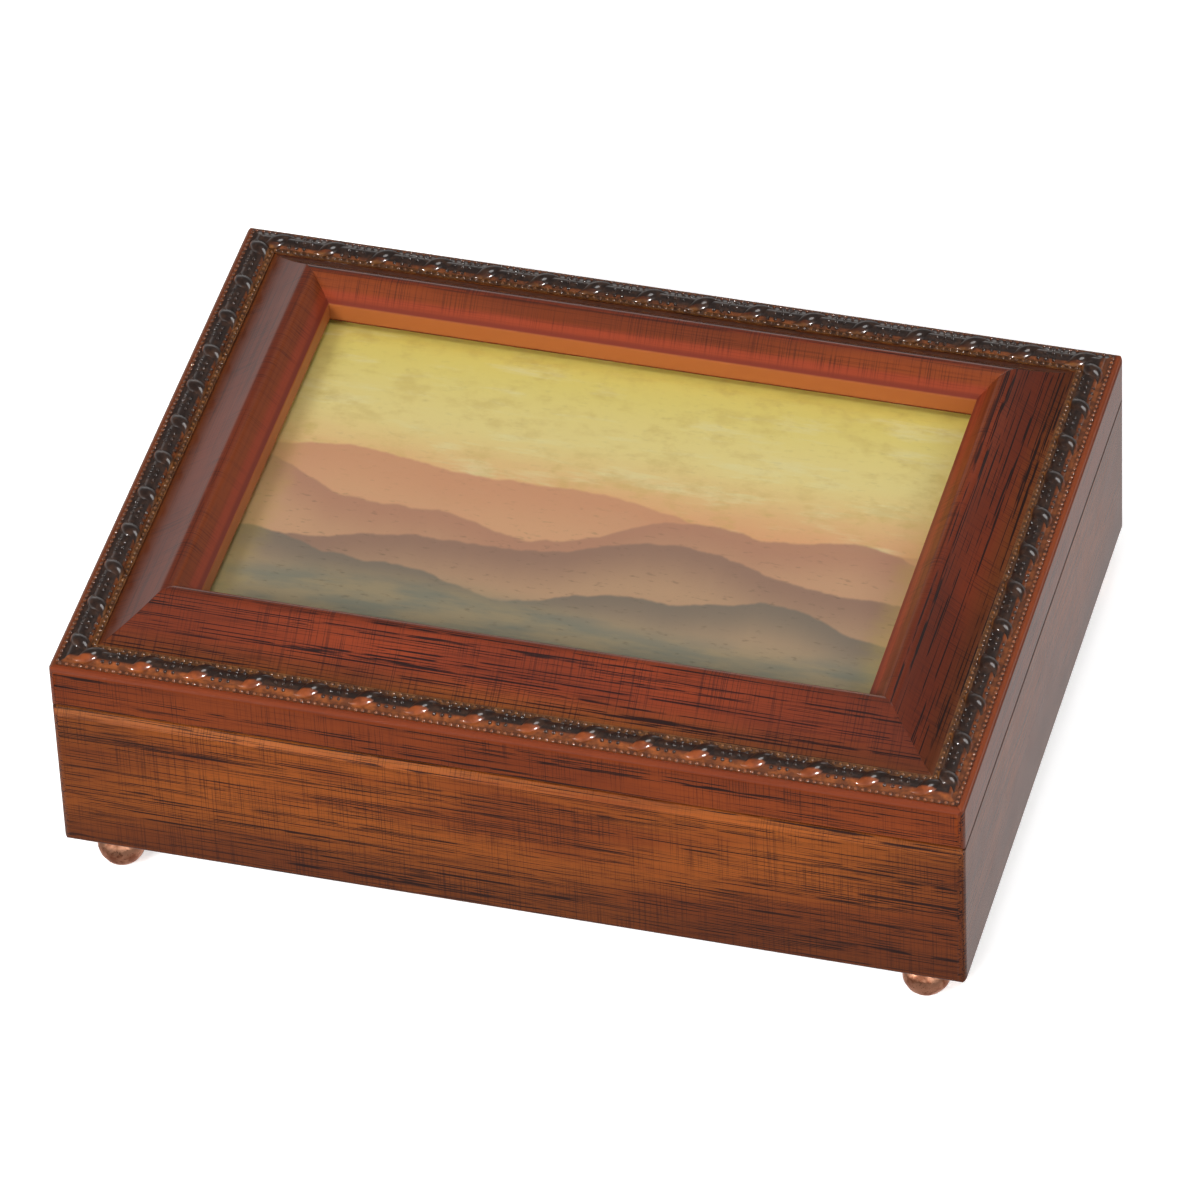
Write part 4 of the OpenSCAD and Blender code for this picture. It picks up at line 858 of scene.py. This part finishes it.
def ended(tree, parts, finish):
    """Join the parts, make copies into real faces, and give all of them a finish."""
    whole = tree.node("GeometryNodeJoinGeometry", None, {"Geometry": parts})
    whole = tree.node("GeometryNodeRealizeInstances", None, {"Geometry": whole})
    whole = tree.node("GeometryNodeSetMaterial", None, {"Geometry": whole, "Material": finish})
    tree.node("NodeGroupOutput", None, {"Geometry": whole})
    print("inputs of", tree.tree.name + ":",
          len([i for i in tree.tree.interface.items_tree if i.in_out == "INPUT"]))
    return tree.tree


def grown(piece, group, values):
    """A piece with what a tree adds to it, as a plain mesh; inputs are set by identifier."""
    modifier = piece.modifiers.new(group.name, "NODES")
    modifier.node_group = group
    for item in group.interface.items_tree:
        if item.in_out == "INPUT" and item.name in values:
            modifier[item.identifier] = values[item.name]
    return baked(piece)


print("trees end in real faces and a finish")

# %% The tree that sets out twists, beads and pearls
PEARL_LEAST = 0.92
BEAD_LEAST = 0.86
BALL = {"Segments": 8, "Rings": 6}
BEADS_ACROSS = 3
PATCH_W = 1.5


def rope_tree():
    inputs = {"Geometry": "Geometry", "Twist": "Object", "Finish": "Material"}
    inputs.update(dict.fromkeys(("Twists", "Seed", "Outer pearls", "Inner pearls"), "Int"))
    inputs.update(dict.fromkeys((
        "Twist pitch", "Rope y", "Rope z", "Core width", "Core height", "Bead radius", "Bead pitch",
        "Bead lean", "Pearl radius", "Outer pitch", "Outer y", "Outer z", "Inner pitch", "Inner y",
        "Inner z"), "Float"))
    tree, given = begun("rope_and_beads", inputs)

    def line(count, pitch, y, z):
        first = tree.node("ShaderNodeCombineXYZ", None, {0: (count - 1) * pitch * -0.5, 1: y, 2: z})
        step = tree.node("ShaderNodeCombineXYZ", None, {0: pitch})
        return tree.node("GeometryNodeMeshLine", {"mode": "OFFSET"},
                         {"Count": count, "Start Location": first, "Offset": step})

    def ball(radius):
        return tree.node("GeometryNodeMeshUVSphere", None, {**BALL, "Radius": radius})

    def strewn(points, shape, least):
        size = tree.node("FunctionNodeRandomValue", {"data_type": "FLOAT"},
                         {2: least, 3: 1.0, "Seed": given["Seed"]}, out=1)
        return tree.node("GeometryNodeInstanceOnPoints", None,
                         {"Points": points, "Instance": shape, "Scale": size})

    pearl = ball(given["Pearl radius"])
    rows = [strewn(line(*(given[side + size] for size in (" pearls", " pitch", " y", " z"))),
                   pearl, PEARL_LEAST) for side in ("Outer", "Inner")]
    along = [given[size] for size in ("Twist pitch", "Rope y", "Rope z")]
    bar = tree.node("GeometryNodeObjectInfo", None, {"Object": given["Twist"]}, out="Geometry")
    twists = strewn(line(given["Twists"], *along), bar, 1.0)

    grid = tree.node("GeometryNodeMeshGrid", None, {
        "Size X": given["Bead pitch"] * (BEADS_ACROSS - 1), "Size Y": given["Core width"] * PATCH_W,
        "Vertices X": BEADS_ACROSS, "Vertices Y": BEADS_ACROSS})
    x, y, z = tree.parts(tree.node("GeometryNodeInputPosition"))
    share = y / given["Core width"]
    over = given["Core height"] * (1 - share * share).sum("SQRT")
    seat = tree.node("ShaderNodeCombineXYZ", None, {0: x + y * given["Bead lean"], 1: y, 2: over})
    grid = tree.node("GeometryNodeSetPosition", None, {"Geometry": grid, "Position": seat})
    patch = strewn(grid, ball(given["Bead radius"]), BEAD_LEAST)
    patches = strewn(line(given["Twists"] - 1, *along), patch, 1.0)
    return ended(tree, [given["Geometry"], *rows, twists, patches], given["Finish"])


ROPE = rope_tree()

# %% The strip and its core
STRIP_T = 0.4
CORE_STEPS = 12


def deck(a):
    """Height of the lid's top where the ornament lies, a millimetres in from the edge."""
    return DECK_Z + (a - DECK_FROM) * DECK_RISE


def rope_section():
    """The strip and its half-round core, as (inset, height) points."""
    start = math.asin(STRIP_T / CORE_H)
    arc = [start + (math.pi - 2 * start) * i / CORE_STEPS for i in range(CORE_STEPS + 1)]
    core = [(ROPE_IN - CORE_W * math.cos(t), deck(ROPE_IN) + CORE_H * math.sin(t)) for t in arc]
    return ([(TRIM_IN, deck(TRIM_IN)), (TRIM_IN, deck(TRIM_IN) + STRIP_T)] + core
            + [(TRIM_OUT, deck(TRIM_OUT) + STRIP_T), (TRIM_OUT, deck(TRIM_OUT))])


def mitred(name, section, half, reach):
    """A section drawn along X between two mitres, reach in front of the middle."""
    skin = bmesh.new()
    ends = [[skin.verts.new((side * (half - a) * MM, (a - reach) * MM, z * MM)) for a, z in section]
            for side in (-1, 1)]
    for i in range(len(section)):
        j = (i + 1) % len(section)
        skin.faces.new((ends[0][i], ends[0][j], ends[1][j], ends[1][i]))
    skin.faces.new(ends[0])
    skin.faces.new(ends[1])
    bmesh.ops.recalc_face_normals(skin, faces=skin.faces)
    mesh = meshed(name, skin)
    mark(mesh, IS_STRIP)
    return linked(name, mesh)


print("points round the strip:", len(rope_section()))

# %% Four mitred strips
PEARL_R = 0.5
PEARL_PITCH = 1.515
PEARL_ROWS = {"Outer": (TRIM_IN + 0.25, 0.28), "Inner": (TRIM_OUT - 0.7, 0.26)}
BEAD_R = 0.46
BEAD_PITCH = 1.75
BEAD_LEAN = 0.9
TWIST_PITCH = 12.4
TWIST_END = 2.4
ROPE_SEED = 3
SIDES = {"front": (0, HALF_W, HALF_D), "right": (90, HALF_D, HALF_W),
         "back": (180, HALF_W, HALF_D), "left": (270, HALF_D, HALF_W)}


def rope_side(side, seed):
    """One strip of the rope, drawn in front and then turned to its side."""
    angle, half, reach = SIDES[side]
    piece = mitred("rope_" + side, rope_section(), half, reach)
    count = round(2 * (half - TWIST_END) / TWIST_PITCH)
    values = {
        "Twist": TWIST, "Finish": GLAZE_AND_LIGHT, "Twists": count, "Seed": seed,
        "Twist pitch": 2 * (half - TWIST_END) / count * MM,
        "Rope y": (ROPE_IN - reach) * MM, "Rope z": deck(ROPE_IN) * MM,
        "Core width": CORE_W * MM, "Core height": CORE_H * MM,
        "Bead radius": BEAD_R * MM, "Bead pitch": BEAD_PITCH * MM, "Bead lean": BEAD_LEAN,
        "Pearl radius": PEARL_R * MM,
    }
    for row, (a, rise) in PEARL_ROWS.items():
        pearls = round(2 * (half - a) / PEARL_PITCH)
        values[row + " pearls"] = pearls
        values[row + " pitch"] = 2 * (half - a) / pearls * MM
        values[row + " y"] = (a - reach) * MM
        values[row + " z"] = (deck(a) + rise) * MM
    grown(piece, ROPE, values)
    piece.data.transform(Matrix.Rotation(math.radians(angle), 4, "Z"))
    return piece


STRIPS = {side: rope_side(side, seed) for seed, side in enumerate(SIDES, ROPE_SEED)}
print("faces of the four strips:", [len(piece.data.polygons) for piece in STRIPS.values()])

# %% [markdown]
# Each side has its own line: the rope's flanks turned to the front or the right are rubbed orange,
# which is painted light, and those turned away keep the dark, which is painted shade. The marks
# say which points are on twists, on the strip or on beads; they are read once and taken away.

# %% Wipe the glaze, with painted light and shade
# painted light and shade: the rubbed side of each line is the one turned to the front or the right
WIPED_AND_LIT = {  # for the twists and for the ground: the rubbed side of a line, the line, what stays
    "front": ((-1, -0.8, 0.1), (-1, -1.2, 0.36)),
    "right": ((-1, -2.2, 0.3), (-1, -1.1, 0.36)),
    "back": ((1, 1.5, 0.54), (1, 1.5, 0.44)),
    "left": ((-1, -2.3, 0.3), (1, 1.4, 0.38)),
}
WIPE_FADE = 0.8
BESIDE_ROPE = 0.3
STAYS_BESIDE = 0.35
STAYS_ON_BEADS = 0.25
ROPE_SHARP = 50


def wipe_and_light(mesh, twists, ground):
    """Paint how much glaze and painted shade stays on the twists and the ground between them.

    Each has a line along the rope, the side of it, -1 for outer or 1 for inner, that was rubbed,
    and the least that stays there. The rubbed side is the one turned to the front or the right, so
    its orange is painted light, and the dark on the other side painted shade. Beads keep more,
    because glaze gathers round them.
    """
    kinds = [point.value for point in mesh.attributes["kind"].data]
    mesh.attributes.remove(mesh.attributes["kind"])
    glaze = mesh.attributes.new("glaze", "FLOAT", "POINT").data
    for corner, kind in zip(mesh.vertices, kinds):
        off = min(HALF_W - abs(corner.co[0]) / MM, HALF_D - abs(corner.co[1]) / MM) - ROPE_IN
        way, line, least = twists if kind == IS_TWIST else ground
        stays = max(0.5 + WIPE_FADE * way * (line - off), least)
        if kind != IS_TWIST and abs(off) > CORE_W + BESIDE_ROPE:
            stays = STAYS_BESIDE
        elif kind < IS_STRIP:
            stays += STAYS_ON_BEADS
        glaze[corner.index].value = min(stays, 1)


for side, piece in STRIPS.items():
    wipe_and_light(piece.data, *WIPED_AND_LIT[side])
    smooth(piece.data, ROPE_SHARP)
    settle(piece, "rope_trim_" + side)
print("wiped:", sorted(STRIPS))

# %% [markdown]
# ## The ball feet
# The feet are cast balls with a collar and a threaded stud, and the casting left small dents.
# A lathe turns the outline; each ring then sinks a little where noise says so. Dents only go
# inwards, so that the ball stays inside its solid.

# %% Turn the feet
FOOT_R = 5.4
FOOT_STAND = 1.6
COLLAR_R = 3.4
STUD_R = 1.2
FOOT_RINGS = 22
FOOT_AROUND = 44
FOOT_SHARP = 40
FOOT_DENT = 0.24
DENT_FROM, DENT_TO = 0.4, 3.6
BROAD, FINE, FINE_SHARE = 0.42, 1.1, 0.4
ON_BALL = 0.01


def lathe(name, outline, dent):
    """Turn (radius, height) points about the Z axis; dent(point) gives how far a point sinks."""
    rows = []
    for radius, z in outline:
        row = []
        for j in range(FOOT_AROUND if radius > 0 else 1):
            angle = 2 * math.pi * j / FOOT_AROUND
            spot = Vector((radius * math.cos(angle), radius * math.sin(angle), z))
            row.append(spot - dent(spot))
        rows.append(row)
    return linked(name, skinned(name, rows, FOOT_AROUND))


def ball_foot(node):
    """A foot turned where its solid stands, with dents on the ball alone."""
    low, high = span(node)
    middle = Vector(((low[0] + high[0]) / 2, (low[1] + high[1]) / 2, 0))
    centre = math.sqrt(FOOT_R ** 2 - FOOT_STAND ** 2)
    first = math.asin(-centre / FOOT_R)
    last = math.acos(COLLAR_R / FOOT_R)
    turns = [first + (last - first) * i / FOOT_RINGS for i in range(FOOT_RINGS + 1)]
    outline = [(0, 0)] + [(FOOT_R * math.cos(t), centre + FOOT_R * math.sin(t)) for t in turns]
    outline += [(COLLAR_R, WALL_Z), (STUD_R, WALL_Z), (STUD_R, high[2]), (0, high[2])]

    def dent(spot):
        out = spot - Vector((0, 0, centre))
        if abs(out.length - FOOT_R) > ON_BALL or spot.z < DENT_FROM or out.z > DENT_TO:
            return Vector((0, 0, 0))
        depth = max(0.0, noise.noise((spot + middle) * BROAD))
        depth += FINE_SHARE * max(0.0, noise.noise((spot + middle) * FINE))
        return out.normalized() * FOOT_DENT * depth

    piece = lathe(node + "_turned", outline, dent)
    piece.data.transform(Matrix.Translation(middle * MM))
    piece.data.materials.append(METAL["foot_copper"])
    smooth(piece.data, FOOT_SHARP)
    settle(piece, node)
    return piece


FEET = [ball_foot("foot_" + end + side) for end in ("front", "back") for side in ("_left", "_right")]
print("feet:", len(FEET), "faces each:", len(FEET[0].data.polygons))

# %% [markdown]
# ## The tune
# A cylinder carries one pin for each note. The rows of pins face the comb's teeth, and their
# angles are the tune, so a random angle with a fixed seed makes a tune that nobody has written.
# A second Geometry Nodes tree strews the pins and turns each to stand straight out.

# %% The tree that sets out the pins
PIN_SIDES = 7


def pin_tree():
    tree, given = begun("tune_pins", {
        "Geometry": "Geometry", "Finish": "Material", "Notes": "Int", "Rows": "Int", "Seed": "Int",
        "First row": "Float", "Row pitch": "Float", "Radius": "Float", "Pin radius": "Float",
        "Pin length": "Float", "Axis": "Vector"})
    notes = tree.node("GeometryNodeMeshLine", None, {"Count": given["Notes"]})
    angle = tree.node("FunctionNodeRandomValue", {"data_type": "FLOAT"},
                      {2: 0.0, 3: 2 * math.pi, "Seed": given["Seed"]}, out=1)
    row = tree.node("FunctionNodeRandomValue", {"data_type": "INT"},
                    {4: 0, 5: given["Rows"] - 1, "Seed": given["Seed"] + 1}, out=2)
    out = tree.node("ShaderNodeCombineXYZ", None, {0: angle.sum("COSINE"), 2: angle.sum("SINE")})
    far = tree.node("ShaderNodeVectorMath", {"operation": "SCALE"},
                    {0: out, "Scale": given["Radius"]})
    along = tree.node("ShaderNodeCombineXYZ", None,
                      {1: given["First row"] + row * given["Row pitch"]})
    spot = tree.node("ShaderNodeVectorMath", {"operation": "ADD"}, {0: far, 1: along})
    spot = tree.node("ShaderNodeVectorMath", {"operation": "ADD"}, {0: spot, 1: given["Axis"]})
    notes = tree.node("GeometryNodeSetPosition", None, {"Geometry": notes, "Position": spot})
    stand = tree.node("FunctionNodeAlignRotationToVector", {"axis": "Z"}, {"Vector": out})
    pin = tree.node("GeometryNodeMeshCylinder", None, {
        "Vertices": PIN_SIDES, "Radius": given["Pin radius"], "Depth": given["Pin length"]})
    pins = tree.node("GeometryNodeInstanceOnPoints", None,
                     {"Points": notes, "Instance": pin, "Rotation": stand})
    return ended(tree, [given["Geometry"], pins], given["Finish"])


PINS = pin_tree()

# %% Pin the cylinder
NOTES = 260
PIN_R = 0.19
PIN_L = 1.3
PIN_TOP = 7.25
TEETH = 18
TUNE_SEED = 11


def tuned_cylinder(node):
    """The cylinder with its pins, in rows that face the comb's teeth."""
    low, high = span(node)
    comb = span("comb")
    pitch = (comb[1][1] - comb[0][1]) / TEETH
    piece = merged(node, node + "_tuned")
    axis = [(a + b) / 2 * MM for a, b in zip(low, high)]
    grown(piece, PINS, {
        "Finish": METAL[slot_of[node]], "Notes": NOTES, "Rows": TEETH, "Seed": TUNE_SEED,
        "First row": (comb[0][1] + pitch / 2) * MM, "Row pitch": pitch * MM,
        "Radius": (PIN_TOP - PIN_L / 2) * MM, "Pin radius": PIN_R * MM, "Pin length": PIN_L * MM,
        "Axis": (axis[0], 0.0, axis[2]),
    })
    smooth(piece.data)
    settle(piece, node)
    return piece


print("faces of the pinned cylinder:", len(tuned_cylinder("pinned_cylinder").data.polygons))

# %% [markdown]
# ## The remaining solids
# Gears, screws, hinges and sheets already have the right shape, so their nodes stay and only
# take a finish.

# %% Dress the nodes that stay
kept = 0
for name, node in nodes.items():
    if name in EASED or name.startswith(("rope_trim_", "foot_", "pinned_")):
        continue
    node.data.materials.clear()
    node.data.materials.append(finish_for(name))
    kept += 1
print("nodes that stay:", kept)

# %% [markdown]
# ## The studio
# Lacquer shows whatever stands around it. So the dome is bright at the horizon and dim overhead,
# where the lid would mirror it, and a low screen at its back left gives the left rail a grey
# sheen. Soft lamps light the box but don't show in the lacquer; spark lamps do the opposite, and
# put the small white lights on beads and twists. The floor glows a little, to stay white.

# %% Studio floor
FLOOR_HALF = 6.0
FLOOR_GLOW = 0.62


def floor_finish():
    finish = Finish("studio_floor")
    x, y, z = finish.place()
    tooth = finish.noise(x / 3, y / 3, z, 2.0)
    colour = finish.mix(srgb(240, 240, 240), srgb(248, 248, 248), tooth)
    return finish.skin({
        "Base Color": colour, "Roughness": 0.9 + 0.05 * tooth, "Specular IOR Level": 0.1,
        "Emission Color": srgb(255, 255, 255), "Emission Strength": FLOOR_GLOW})


def studio_floor():
    skin = bmesh.new()
    bmesh.ops.create_grid(skin, x_segments=8, y_segments=8, size=FLOOR_HALF)
    mesh = meshed("studio_floor", skin)
    mesh.materials.append(floor_finish())
    return linked("studio_floor", mesh)


floor = studio_floor()
floor.visible_glossy = False
floor.visible_diffuse = False
print("floor:", 2 * FLOOR_HALF, "m wide")

# %% Dome


def dome(band, zenith, under, front_share, screen):
    """Light from all round: a band at the horizon, dim overhead, a pale table under it.

    The table is dimmer in front, by front_share, and screen is the strength of the low screen.
    """
    world = bpy.data.worlds.new("studio_dome")
    world.use_nodes = True
    world.node_tree.nodes.clear()
    tree = Tree(world.node_tree)
    x, y, z = tree.parts(tree.node("ShaderNodeTexCoord", out="Generated"))
    corner = (-1 * x).ramp(0.35, 0.60) * y.ramp(0.30, 0.55)
    over = zenith + (band * (1 - 0.8 * corner) - zenith) * (1 - z.ramp(0.05, 0.42))
    table = under * (front_share + (1 - front_share) * y.ramp(-0.4, 0.5))
    table = table * (0.12 + 0.88 * (-1 * z).ramp(0.32, 0.66))
    strength = table + (over - table) * z.ramp(-0.10, 0.02)
    strength = strength + screen * corner * z.ramp(-0.36, -0.22) * (1 - z.ramp(0.06, 0.28))
    tint = tree.mix((1, 0.87, 0.84, 1), (1, 0.97, 0.95, 1), z.ramp(-0.5, -0.1))
    shader = tree.node("ShaderNodeBackground", None, {"Color": tint, "Strength": strength})
    tree.node("ShaderNodeOutputWorld", None, {"Surface": shader})
    return world


scene = bpy.context.scene
scene.world = dome(band=1.15, zenith=0.14, under=0.50, front_share=0.55, screen=0.40)
print("dome:", scene.world.name)

# %% Lamps
CASE = (0, 0, 0.03)
LID = (0, 0, 0.06)
SOFT = {  # place, aim, size in metres, power in watts
    "key_lamp": ((-0.9, -1.9, 1.25), CASE, 0.9, 50),
    "fill_lamp": ((1.7, -0.9, 1.2), CASE, 0.9, 11),
    "sky_lamp": ((0.15, -0.45, 2.1), CASE, 0.9, 13),
}
SPARK = {
    "back_spark": ((0.33, 0.80, 2.0), CASE, 0.9, 15),
    "right_spark": ((0.82, -0.68, 0.66), LID, 0.32, 26),
    "left_spark": ((-1.15, -0.72, 0.66), LID, 0.13, 20),
}


def lamp(name, place, aim, size, power):
    light = bpy.data.lights.new(name, "AREA")
    light.shape = "DISK"
    light.size = size
    light.energy = power
    made = linked(name, light)
    made.location = place
    made.rotation_euler = (Vector(aim) - Vector(place)).to_track_quat("-Z", "Y").to_euler()
    return made


for name, setting in SOFT.items():
    lamp(name, *setting).visible_glossy = False
for name, setting in SPARK.items():
    lamp(name, *setting).visible_diffuse = False
scene.view_settings.view_transform = "Standard"
scene.view_settings.look = "None"
